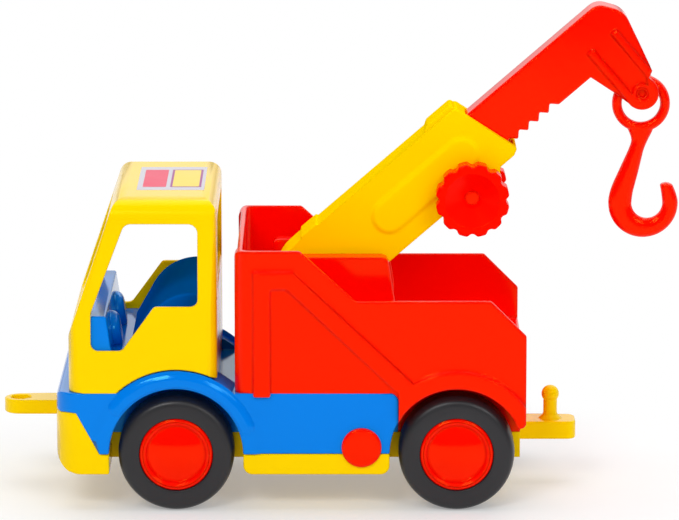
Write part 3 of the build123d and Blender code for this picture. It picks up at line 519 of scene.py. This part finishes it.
def skin(name, grid, looped=False):
    """Closed object from a grid of points in millimetres: rows along the form, columns around it.

    Neighbours are joined by quads. Rows join up into a loop, or end in a fan about their middle.
    """
    rows, columns = grid.shape[:2]
    index = np.arange(rows * columns).reshape(rows, columns)
    beside = np.roll(index, -1, axis=1)
    above = np.roll(index, -1, axis=0)
    quads = np.stack([index, beside, np.roll(above, -1, axis=1), above], axis=-1)
    points = grid.reshape(-1, 3)
    fans = np.empty((0, 3), int)
    if not looped:
        quads = quads[:-1]
        points = np.vstack([points, grid[0].mean(axis=0), grid[-1].mean(axis=0)])
        first_end, last_end = np.full(columns, rows * columns), np.full(columns, rows * columns + 1)
        fans = np.vstack([
            np.stack([beside[0], index[0], first_end], axis=-1),
            np.stack([index[-1], beside[-1], last_end], axis=-1),
        ])
    quads = quads.reshape(-1, 4)
    triangles = np.vstack([quads[:, :3], quads[:, [0, 2, 3]], fans])
    corner = points[triangles]
    volume = (corner[:, 0] * np.cross(corner[:, 1], corner[:, 2])).sum()
    turned = slice(None, None, 1 if volume > 0 else -1)
    faces = quads[:, turned].tolist() + fans[:, turned].tolist()
    return put_mesh(name, points / 1000, faces)


def spun(name, line, centre, axis="Y", steps=96, swell=None):
    """Turned form: the line's points (r, a) carried round the axis through the centre.

    P(u, v) = centre + r(u) k(u, v) (cos v, sin v) across the axis + a(u) along it; k is 1 or the swell.
    """
    radius, height = np.asarray(line, float).T
    turn = np.linspace(0, 2 * np.pi, steps, endpoint=False)
    share = np.ones((len(radius), steps)) if swell is None else swell(radius[:, None], turn)
    reach = radius[:, None] * share
    across, up = reach * np.cos(turn), reach * np.sin(turn)
    along = np.repeat(height[:, None], steps, axis=1)
    order = (across, along, up) if axis == "Y" else (across, up, along)
    return skin(name, np.stack(order, axis=-1) + np.asarray(centre, float))


YELLOW = (1.0, 0.67, 0.0)
yellow_plastic = moulded("yellow_gloss_plastic", YELLOW, 0.17, specular=0.5, sheen=(1, 0.7, 0.04))
softened("chassis", "truck", yellow_plastic, 0.0010)
HITCH_PIN_X = -116.2
PLATE_TOP = 36.0
BALL_Z = 49.7
BALL_R = 4.85
NECK_R = 3.8
FLARE = 2.6
meeting = math.acos(NECK_R / BALL_R)
ball_turn = np.linspace(-meeting, math.radians(88), 18)
# distance from the pin's middle line, height, radius of the bend
neck_line = rounded_line([
    (NECK_R + 3, PLATE_TOP - 0.6, 0), (NECK_R + FLARE, PLATE_TOP + 0.1, 0), (NECK_R, PLATE_TOP + FLARE, 2.5),
    (NECK_R, BALL_Z - BALL_R * math.sin(meeting) - 0.4, 0),
])
ball_line = np.stack([BALL_R * np.cos(ball_turn), BALL_Z + BALL_R * np.sin(ball_turn)], axis=-1)
hitch_ball = spun("hitch_ball", np.vstack([neck_line, ball_line]), (HITCH_PIN_X, 0, 0), "Z", 64)
fitted(hitch_ball, "truck", None, yellow_plastic)

# Axles
# Two plain steel bars, one for each pair of wheels. They are drawn round, cut to length and pressed into the
# wheels' hubs, so that a pair turns as one.
DRAW_LINE_RELIEF = 0.00005


def drawn_steel():
    """Bare steel with fine draw lines along the bar and a little tarnish."""
    material = bpy.data.materials.new("drawn_steel")
    material.use_nodes = True
    tree = material.node_tree
    shader = tree.nodes["Principled BSDF"]
    shader.inputs["Metallic"].default_value = 1.0
    place = tree.nodes.new("ShaderNodeTexCoord")
    stretch = tree.nodes.new("ShaderNodeMapping")
    stretch.inputs["Scale"].default_value = (1, 0.02, 1)
    lines = tree.nodes.new("ShaderNodeTexNoise")
    lines.inputs["Scale"].default_value = 3000
    tarnish = tree.nodes.new("ShaderNodeTexNoise")
    tarnish.inputs["Scale"].default_value = 90
    tone = tree.nodes.new("ShaderNodeMix")
    tone.data_type = "RGBA"
    tone.inputs["A"].default_value = (0.50, 0.50, 0.52, 1)
    tone.inputs["B"].default_value = (0.62, 0.61, 0.60, 1)
    dull = tree.nodes.new("ShaderNodeMapRange")
    dull.inputs["To Min"].default_value = 0.25
    dull.inputs["To Max"].default_value = 0.45
    ridge = tree.nodes.new("ShaderNodeBump")
    ridge.inputs["Strength"].default_value = RELIEF_STRENGTH
    ridge.inputs["Distance"].default_value = DRAW_LINE_RELIEF
    joined(tree, place.outputs["Object"], stretch.inputs["Vector"])
    joined(tree, stretch.outputs["Vector"], lines.inputs["Vector"])
    joined(tree, place.outputs["Object"], tarnish.inputs["Vector"])
    joined(tree, tarnish.outputs["Fac"], tone.inputs["Factor"])
    joined(tree, tone.outputs["Result"], shader.inputs["Base Color"])
    joined(tree, lines.outputs["Fac"], dull.inputs["Value"])
    joined(tree, dull.outputs["Result"], shader.inputs["Roughness"])
    joined(tree, lines.outputs["Fac"], ridge.inputs["Height"])
    joined(tree, ridge.outputs["Normal"], shader.inputs["Normal"])
    return material


steel = drawn_steel()
for end in ("front", "rear"):
    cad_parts["axle_" + end].material_slots[0].material = steel

# Blue lower body
# One shot of glossy blue plastic, held between chassis and cab: bumper band, hoops over the front wheels,
# sills and the cab's floor. The hoops swell gently to their face, and the band's nose is fully rounded.
BLUE = (0.0, 0.200, 0.80)
FRONT_AXLE_X = 88.5
AXLE_Z = 31.4
HOOP_R = 46.3
HOOP_SHOULDER = 3.4
HOOP_FACE_Y = 69.0
FACE_MARGIN, RIM_MARGIN = 0.05, 0.6
blue_plastic = moulded("blue_gloss_plastic", BLUE, 0.11, specular=0.5, sheen=(0.15, 0.8, 1))


def hoops_swelled(points):
    """Outer rim points of the hoops' faces drawn in to the radius HOOP_R - HOOP_SHOULDER."""
    local = points * 1000 - np.array([FRONT_AXLE_X, 0, AXLE_Z])
    reach = np.hypot(local[:, 0], local[:, 2])
    on_face = (np.abs(local[:, 1]) > HOOP_FACE_Y - FACE_MARGIN) & (reach > HOOP_R - RIM_MARGIN)
    scale = np.where(on_face, (HOOP_R - HOOP_SHOULDER) / np.maximum(reach, 1), 1)
    local[:, 0] *= scale
    local[:, 2] *= scale
    return (local + np.array([FRONT_AXLE_X, 0, AXLE_Z])) / 1000


softened("lower_body", "truck", blue_plastic, 0.0010, shift=hoops_swelled)
# distance from the axle, distance from the middle plane, radius of the bend
shoulder_line = rounded_line([
    (37.2, 66.8, 0.2), (36.7, 68.4, 0.6), (37.5, 69.5, 1.2), (41.8, 69.9, 3.0),
    (44.2, 68.9, 3.0), (HOOP_R, 67.2, 0.3), (44.0, 66.6, 0.3),
], 9, True)
# degrees of turn over the wheel, where the shoulder starts and stops and where it sinks into the panel
FRONT_END, FRONT_SINK_RUN = 26, 12
REAR_END, REAR_SINK_RUN = 174, 14
REAR_SINK_START = 158
SINK_DEPTH = 1.9
shoulder_degrees = np.linspace(FRONT_END, REAR_END, 90)
shoulder_turn = np.radians(shoulder_degrees)
front_part = np.clip((FRONT_END + FRONT_SINK_RUN - shoulder_degrees) / FRONT_SINK_RUN, 0, 1)
rear_part = np.clip((shoulder_degrees - REAR_SINK_START) / REAR_SINK_RUN, 0, 1)
end_part = front_part + rear_part
sunk = SINK_DEPTH * end_part * end_part * (3 - 2 * end_part)
for side, sign in (("left", 1), ("right", -1)):
    shoulder_grid = np.stack([
        FRONT_AXLE_X + np.cos(shoulder_turn)[:, None] * shoulder_line[:, 0],
        sign * (shoulder_line[:, 1] - sunk[:, None]),
        AXLE_Z + np.sin(shoulder_turn)[:, None] * shoulder_line[:, 0],
    ], axis=-1)
    shoulder = skin("hoop_shoulder_" + side, shoulder_grid)
    fitted(shoulder, "truck", None, blue_plastic)

# Cab inside
# Dashboard and bench seat of blue plastic, fixed on the cab's floor and seen through the windows. The
# dashboard is glossy, and the seat has a duller skin whose blue is painted darker as painted shade for the
# shade inside the cab.
softened("dashboard", "truck", blue_plastic, 0.0008)
# painted shade: the seat's pigment is a darkened copy of the body's blue, standing in for the shade inside
# the cab
dull_blue_painted_shade = moulded("blue_dull_plastic_painted_shade", (0.0, 0.11, 0.50), 0.45, specular=0.0)
softened("seat_bench", "truck", dull_blue_painted_shade, 0.0015)

# Steering wheels
# Two thick blue buns in front of the seat, leaning against the dashboard, each with one rim fully rounded.
# They stand on the cab's floor and don't turn.
STEER_X, STEER_Z = 122.8, 91.3
STEER_R, STEER_THICK = 11.0, 7.0
STEER_SIDE = 26.0
STEER_LEAN = math.atan2(3.3, 22.1)
STEER_FOOT_Z = 84.3
# distance from the bun's axis, place along it, radius of the bend
bun_line = rounded_line([
    (0.5, -0.5 * STEER_THICK, 0), (STEER_R, -0.5 * STEER_THICK, 0.4),
    (STEER_R, 0.5 * STEER_THICK, 4.6), (0.5, 0.5 * STEER_THICK, 0),
], 10)
bun_radius, bun_height = bun_line.T
bun_turn = np.linspace(0, 2 * np.pi, 72, endpoint=False)
for side, sign in (("left", 1), ("right", -1)):
    across = bun_radius[:, None] * np.cos(bun_turn)
    upward = bun_radius[:, None] * np.sin(bun_turn)
    outward = np.repeat(bun_height[:, None], len(bun_turn), axis=1)
    world_x = STEER_X - outward * math.cos(STEER_LEAN) + upward * math.sin(STEER_LEAN)
    world_z = STEER_Z + outward * math.sin(STEER_LEAN) + upward * math.cos(STEER_LEAN)
    world_z = np.maximum(world_z, STEER_FOOT_Z)
    bun = skin("steering_bun_" + side, np.stack([world_x, sign * STEER_SIDE + across, world_z], axis=-1))
    fitted(bun, "truck", "steering_discs", blue_plastic)

# Cab
# A hollow shell of yellow plastic about 2.7 mm thick, with open windows all round. It is moulded in one
# and pressed over the blue floor.
softened("cab_shell", "truck", yellow_plastic, 0.0008)

# Roof label
# A paper label stuck on the roof: silver-grey ground with a plain red field and a plain yellow one in a
# thin purple frame. It carries no lettering.
ROOF_Z = 170.5
LABEL_SUNK = 0.3
LABEL_CORNER_R = 0.8
# name, x from and to, half width, height over the roof, colour
LABEL_FIELDS = [
    ("label_ground", 73.6, 110.1, 35.0, 0.06, (0.62, 0.60, 0.66)),
    ("label_red_field", 94.5, 107.2, 26.0, 0.10, (0.80, 0.05, 0.12)),
    ("label_frame", 75.4, 92.3, 26.6, 0.10, (0.36, 0.05, 0.26)),
    ("label_yellow_field", 76.6, 91.1, 25.0, 0.14, (0.90, 0.70, 0.10)),
]
for field, x_low, x_high, half, rise, ink in LABEL_FIELDS:
    corner_rows = [(x_low, -half), (x_high, -half), (x_high, half), (x_low, half)]
    outline = rounded_line([(*corner, LABEL_CORNER_R) for corner in corner_rows], 5, True)
    level = np.array([ROOF_Z - LABEL_SUNK, ROOF_Z + rise])
    walls = np.stack([np.column_stack([outline, np.full(len(outline), z)]) for z in level])
    paper = skin(field, walls)
    paper.data.polygons.foreach_set("use_smooth", np.zeros(len(paper.data.polygons), bool))
    print_ink = moulded(field + "_ink", ink, 0.35, 0.08, 0.08, 0.3, edge=0.0002)
    fitted(paper, "truck", None, print_ink)

# Bed
# Open box of glossy red plastic, moulded in one: a high front, hoops over the rear wheels and a raised rib
# down each side. It stands on the chassis behind the cab.
RED = (1.0, 0.0015, 0.0)
red_plastic = moulded("red_gloss_plastic", RED, 0.12, specular=0.5, sheen=(1, 0.42, 0.04), edge=0.0022)
RIB_FACE_Y, RIB_CROWN_Y = 69.0, 69.9


def ribs_raised(points):
    """Points on the ribs' and hoops' faces, |y| = RIB_FACE_Y, moved out to RIB_CROWN_Y."""
    moved = points.copy()
    on_rib = np.abs(points[:, 1]) > (RIB_FACE_Y - FACE_MARGIN) / 1000
    moved[on_rib, 1] = np.sign(points[on_rib, 1]) * RIB_CROWN_Y / 1000
    return moved


# low corner, high corner, width, hollow share
BED_EDGES = [
    ((-110, 67.2, 0), (60, 71, 200), 0.0008, 1.8),
    ((-110, -71, 0), (60, -67.2, 200), 0.0008, 1.8),
    ((22.7, 67, 142), (60, 68, 144), 0.0006, 0.4),
    ((22.7, -68, 142), (60, -67, 144), 0.0006, 0.4),
    ((48, -68, 142), (54, 68, 144), 0, 0),
    ((54.5, -56, 60), (58, 56, 146), 0, 0),
    ((-110, -66.9, 60), (60, 66.9, 66), 0, 0),
]
softened("bed", "truck", red_plastic, 0.0006, 0.4, BED_EDGES, ribs_raised)

# Pedestal
# Two thick cheeks of red plastic on the bed's floor carry the boom between them, on a plain round pin that
# is pressed in from the side.
softened("boom_pedestal", "truck", red_plastic, 0.0012)
softened("boom_pin", "truck", red_plastic, 0.0005)

# Side buttons
# A round plug of red plastic is pressed into each sill just before the rear wheel. Its face is slightly
# domed and its edge is soft.
BUTTON_X, BUTTON_Z, BUTTON_R = -11.6, 35.2, 10.8
BUTTON_IN, BUTTON_RIM, BUTTON_TOP, DOME_FALL = 67.0, 69.5, 70.0, 0.7
dome = np.linspace(BUTTON_R - 1.6, 0.4, 12)
dome_line = np.stack([dome, BUTTON_TOP - DOME_FALL * (dome / BUTTON_R) ** 2], axis=-1)
# distance from the plug's axis, distance from the middle plane, radius of the bend
edge_line = rounded_line([
    (2, BUTTON_IN, 0), (BUTTON_R, BUTTON_IN, 0.2),
    (BUTTON_R, BUTTON_RIM, 1.3), (BUTTON_R - 1.8, BUTTON_RIM, 0),
], 8)
plug_line = np.vstack([edge_line[:-1], dome_line])
for side, sign in (("left", 1), ("right", -1)):
    plug = spun("side_plug_" + side, plug_line * np.array([1, sign]), (BUTTON_X, 0, BUTTON_Z))
    fitted(plug, "truck", "side_button_" + side, red_plastic)

# Wheels
# Four alike, each of two mouldings pressed together: a satin black tyre with full shoulders round a red
# centre, whose face is a low dome inside a raised round lip.
BLACK = (0.014, 0.013, 0.016)
WHEEL_IN, WHEEL_OUT, WHEEL_R, RIM_R = 45.0, 69.0, 31.4, 20.0
WHEEL_MIDDLE = (WHEEL_IN + WHEEL_OUT) / 2
tyre_plastic = moulded("black_tyre_plastic", BLACK, 0.40, 0.25, 0.12, 0.5)
TYRE_SQUARENESS = 4.0
TYRE_WIDEST_R, TYRE_BEAD = 24.0, 8.0
# the section is the superellipse |r - m|^n / a^n + |y|^n / b^n = 1, cut off at the rim's radius
tyre_turn = np.linspace(0, 2 * np.pi, 88, endpoint=False)
tyre_out = np.sign(np.cos(tyre_turn)) * np.abs(np.cos(tyre_turn)) ** (2 / TYRE_SQUARENESS)
tyre_side = np.sign(np.sin(tyre_turn)) * np.abs(np.sin(tyre_turn)) ** (2 / TYRE_SQUARENESS)
tyre_reach = np.where(tyre_out > 0, WHEEL_R - TYRE_WIDEST_R, TYRE_BEAD)
tyre_line = np.stack([
    np.maximum(TYRE_WIDEST_R + tyre_reach * tyre_out, RIM_R),
    WHEEL_MIDDLE + (WHEEL_OUT - WHEEL_MIDDLE) * tyre_side,
], axis=-1)
# distance from the axle, distance from the middle plane, radius of the bend
lip_rows = [
    (2.5, 59.0, 0), (2.5, WHEEL_IN, 0.3), (7.0, WHEEL_IN, 0.5), (7.0, 63.8, 0.8), (17.0, 63.8, 0.8),
    (17.0, WHEEL_IN, 0.4), (RIM_R - 0.05, WHEEL_IN, 0.4), (RIM_R - 0.05, WHEEL_OUT, 1.9),
    (16.2, WHEEL_OUT, 1.8), (15.9, 66.1, 0.5), (15.0, 66.15, 0),
]
DOME_R, DOME_LOW, DOME_RISE = 15.2, 66.2, 2.65
dome_r = np.linspace(DOME_R - 0.4, 0.4, 24)
rim_dome = np.stack([dome_r, DOME_LOW + DOME_RISE * (1 - (dome_r / DOME_R) ** 2)], axis=-1)
rim_line = np.vstack([rounded_line(lip_rows, 9)[:-1], rim_dome])
REAR_AXLE_X = -63.0
WHEEL_STEPS = 128
# end of the toy, axle's x
for end, axle_x in (("front", FRONT_AXLE_X), ("rear", REAR_AXLE_X)):
    for side, sign in (("left", 1), ("right", -1)):
        where = end + "_" + side
        flip = np.array([1, sign])
        turn = np.linspace(0, 2 * np.pi, WHEEL_STEPS, endpoint=False)
        ring = tyre_line * flip
        tyre_grid = np.stack([
            axle_x + ring[:, :1] * np.cos(turn),
            np.repeat(ring[:, 1:], WHEEL_STEPS, axis=1),
            AXLE_Z + ring[:, :1] * np.sin(turn),
        ], axis=-1)
        tyre = skin("round_tyre_" + where, tyre_grid, looped=True)
        fitted(tyre, end + "_wheels", "tyre_" + where, tyre_plastic)
        centre = spun("wheel_centre_" + where, rim_line * flip, (axle_x, 0, AXLE_Z), steps=WHEEL_STEPS)
        fitted(centre, end + "_wheels", "rim_" + where, red_plastic)

# Boom sleeve
# Two half shells of satin yellow plastic closed on the middle line: a soft-edged box with a long raised pad
# on each side, a collar at the mouth and the gear case below.
BOOM_PIN_X, BOOM_PIN_Z, BOOM_LEAN = 14.1, 118.5, math.radians(40.9)
PAD_START, PAD_END, PAD_HEIGHT, PAD_FACE_Y, PAD_TAPER = 53.0, 105.0, -1.3, 16.6, 0.80


def pads_tapered(points):
    """Rim points of the pads' faces drawn in towards the pad's middle line to the share PAD_TAPER.

    Along the boom s = z sin t - x cos t, across it h = x sin t + z cos t, from the pin.
    """
    local = points * 1000 - np.array([BOOM_PIN_X, 0, BOOM_PIN_Z])
    along = local[:, 2] * math.sin(BOOM_LEAN) - local[:, 0] * math.cos(BOOM_LEAN)
    across = local[:, 0] * math.sin(BOOM_LEAN) + local[:, 2] * math.cos(BOOM_LEAN)
    share = np.where(np.abs(local[:, 1]) > PAD_FACE_Y - FACE_MARGIN, PAD_TAPER, 1.0)
    middle = np.clip(along, PAD_START, PAD_END)
    along = middle + (along - middle) * share
    across = PAD_HEIGHT + (across - PAD_HEIGHT) * share
    local[:, 0] = across * math.sin(BOOM_LEAN) - along * math.cos(BOOM_LEAN)
    local[:, 2] = across * math.cos(BOOM_LEAN) + along * math.sin(BOOM_LEAN)
    return (local + np.array([BOOM_PIN_X, 0, BOOM_PIN_Z])) / 1000


satin_yellow = moulded("yellow_satin_plastic", YELLOW, 0.3, specular=0.0)
# low corner, high corner, width, hollow share: crisp at the collar's tip
SLEEVE_EDGES = [((-62.5, -11.1, 210.4), (-60.8, 11.1, 211.2), 0.0010, 0)]
for side in ("left", "right"):
    softened(
        "boom_sleeve_" + side, "boom", satin_yellow, 0.0010, 0.9, SLEEVE_EDGES, pads_tapered
    )

# Winder
# The pinion and its shaft are one red moulding, and a red knob is pressed on each end: a round grip with
# twelve dents in its rim and a deep dish.
softened("pinion", "winder", red_plastic, 0.0002)
KNOB_X, KNOB_Z, KNOB_R = -71.919, 163.376, 20.1
DENTS, DENT_R, DENT_OUT = 12, 2.6, 20.9
DENTS_FROM, DENTS_FADE = 15.2, 2.6


def dented(radius, turn):
    """Share of the radius kept at a turn, fading in from DENTS_FROM over DENTS_FADE of radius.

    At d from a dent's middle its arc is c cos d - sqrt(r^2 - c^2 sin^2 d), c the arc's distance out.
    """
    pitch = 2 * np.pi / DENTS
    off = (turn + pitch / 2) % pitch - pitch / 2
    chord = DENT_R ** 2 - (DENT_OUT * np.sin(off)) ** 2
    dent = DENT_OUT * np.cos(off) - np.sqrt(np.maximum(chord, 0))
    rim = np.where(chord > 0, np.minimum(dent, KNOB_R), KNOB_R)
    kernel = np.array([1, 2, 3, 2, 1]) / 9
    rim = sum(share * np.roll(rim, step - 2) for step, share in enumerate(kernel))
    part = np.clip((radius - DENTS_FROM) / DENTS_FADE, 0, 1)
    return 1 + part * part * (3 - 2 * part) * (rim / KNOB_R - 1)


knob_red = moulded("red_knob_plastic", RED, 0.25, specular=0.12, sheen=(1, 0.42, 0.04))
KNOB_IN, KNOB_OUT = 17.2, 30.2
# distance from the shaft's middle line, distance from the middle plane, radius of the bend
knob_line = rounded_line([
    (4.0, KNOB_IN, 0), (KNOB_R, KNOB_IN, 1.2), (KNOB_R, KNOB_OUT, 1.4), (15.0, KNOB_OUT, 1.0),
    (5.0, 23.0, 2.5), (2.8, 18.4, 0.8), (0.6, 18.2, 0),
], 8)
for side, sign in (("left", 1), ("right", -1)):
    knob_half = knob_line * np.array([1, sign])
    knob = spun("grip_knob_" + side, knob_half, (KNOB_X, 0, KNOB_Z), steps=288, swell=dented)
    fitted(knob, "winder", "knob_" + side, knob_red)

# Arm
# Bar of red plastic with rack teeth below and a forked head bent down, with two raised ribs and a ring
# round the hook's pin on each cheek. It slides in the sleeve, and the pin is hollow at both ends.
PIN_X, PIN_Z, PIN_R, PIN_HALF = -164.333, 219.350, 3.1, 11.0
PIN_HOLE_R, PIN_HOLE_END = 2.2, 7.8
# low corner, high corner, width, hollow share: the ribs' feet on the head are crisp, and so is the end of
# the fork's slot on the elbow's bend
ARM_EDGES = [
    ((-175, 8.9, 210), (-130, 9.1, 256), 0.0009, 0),
    ((-175, -9.1, 210), (-130, -8.9, 256), 0.0009, 0),
    ((-137.1, -1, 227.3), (-136.77, 1, 227.55), 0, 0),
]
softened("boom_arm", "arm", red_plastic, 0.0009, 0.9, ARM_EDGES)
# distance from the pin's middle line, distance from the middle plane, radius of the bend
pin_line = rounded_line([
    (0.4, PIN_HOLE_END, 0), (PIN_HOLE_R, PIN_HOLE_END, 0.3),
    (PIN_HOLE_R, PIN_HALF, 0.3), (PIN_R, PIN_HALF, 0.2),
    (PIN_R, -PIN_HALF, 0.2), (PIN_HOLE_R, -PIN_HALF, 0.3),
    (PIN_HOLE_R, -PIN_HOLE_END, 0.3), (0.4, -PIN_HOLE_END, 0),
], 5)
pin = spun("hollow_pin", pin_line, (PIN_X, 0, PIN_Z), steps=48)
fitted(pin, "arm", "hook_pin", red_plastic)

# Hook
# Hook of red plastic, hanging by its ring from the pin. It is one moulding of rounded section: ring,
# waisted shank and a deep bowl, thickest at its bottom.
HOOK_HALF_THICK = 3.5
RING_DROP, RING_R, RING_HOLE_R = 7.0, 15.9, 10.4
BOWL_X, BOWL_Z, BOWL_R, MOUTH_X, MOUTH_R = -1.8, -62.4, 19.1, -3.9, 8.4
SECTION_POWER = 2.35


def section(turn):
    """Rounded square of the section: |a|^n + |b|^n = 1 with n the section power."""
    a, b = np.cos(turn), np.sin(turn)
    power = 2 / SECTION_POWER
    return np.sign(a) * np.abs(a) ** power, np.sign(b) * np.abs(b) ** power


RING_STEPS = 96
round_turn = np.linspace(0, 2 * np.pi, 40, endpoint=False)
wide, thick = section(round_turn)
ring_turn = np.linspace(0, 2 * np.pi, RING_STEPS, endpoint=False)[:, None]
ring_reach = (RING_R + RING_HOLE_R) / 2 + (RING_R - RING_HOLE_R) / 2 * wide
ring_grid = np.stack([
    PIN_X + ring_reach * np.cos(ring_turn),
    np.repeat((HOOK_HALF_THICK * thick)[None], RING_STEPS, axis=0),
    PIN_Z - RING_DROP + ring_reach * np.sin(ring_turn),
], axis=-1)
hook_ring = skin("hook_ring", ring_grid, looped=True)
fitted(hook_ring, "hook", "hook", red_plastic)

# front edge x, z and rear edge x, z from the pin, down the shank
SHANK = [
    (8.9, -18.2, -7.8, -18.2),
    (6.6, -22.4, -6.4, -22.4),
    (5.1, -27.2, -3.9, -27.6),
    (6.3, -32.0, -1.9, -32.6),
    (8.9, -38.0, -0.6, -38.0),
    (12.0, -45.0, 0.9, -44.6),
    (14.9, -51.6, 2.5, -51.0),
    (16.7, -57.2, 3.9, -56.9),
]
TIP = [
    (-20.0, -57.6, -11.8, -57.4),
    (-18.3, -53.2, -11.0, -52.8),
    (-17.3, -50.9, -10.9, -51.2),
]
bowl_turn = -np.radians(np.linspace(0, 180, 11))
bowl = np.column_stack([
    BOWL_X + BOWL_R * np.cos(bowl_turn), BOWL_Z + BOWL_R * np.sin(bowl_turn),
    MOUTH_X + MOUTH_R * np.cos(bowl_turn), BOWL_Z + MOUTH_R * np.sin(bowl_turn),
])
stations = np.vstack([SHANK, bowl, TIP])


def smooth_through(table, steps):
    """Catmull-Rom curve through the table's rows, with m half the chord about a row.

    P(t) = p0 (2t^3 - 3t^2 + 1) + m0 (t^3 - 2t^2 + t) + p1 (3t^2 - 2t^3) + m1 (t^3 - t^2) in each span.
    """
    slope = np.gradient(table, axis=0)
    at = np.linspace(0, len(table) - 1, steps)
    span = np.minimum(at.astype(int), len(table) - 2)
    t = (at - span)[:, None]
    p0, p1, m0, m1 = table[span], table[span + 1], slope[span], slope[span + 1]
    return (p0 * (2 * t ** 3 - 3 * t ** 2 + 1) + m0 * (t ** 3 - 2 * t ** 2 + t)
            + p1 * (3 * t ** 2 - 2 * t ** 3) + m1 * (t ** 3 - t ** 2))


STATION_COUNT = 150
TIP_STATIONS = 7
edges = smooth_through(stations, STATION_COUNT)
middle = (edges[:, :2] + edges[:, 2:]) / 2
reach = (edges[:, :2] - edges[:, 2:]) / 2
# the tip closes as a quarter circle over its last stations
to_end = np.linspace(STATION_COUNT / TIP_STATIONS, 0, STATION_COUNT)
close = np.sqrt(1 - np.clip(1 - to_end, 0, 0.995) ** 2)[:, None]
shank_grid = np.stack([
    PIN_X + middle[:, :1] + reach[:, :1] * wide * close,
    HOOK_HALF_THICK * thick * (0.35 + 0.65 * close),
    PIN_Z + middle[:, 1:] + reach[:, 1:] * wide * close,
], axis=-1)
hook_shank = skin("hook_shank", shank_grid)
fitted(hook_shank, "hook", "hook", red_plastic)
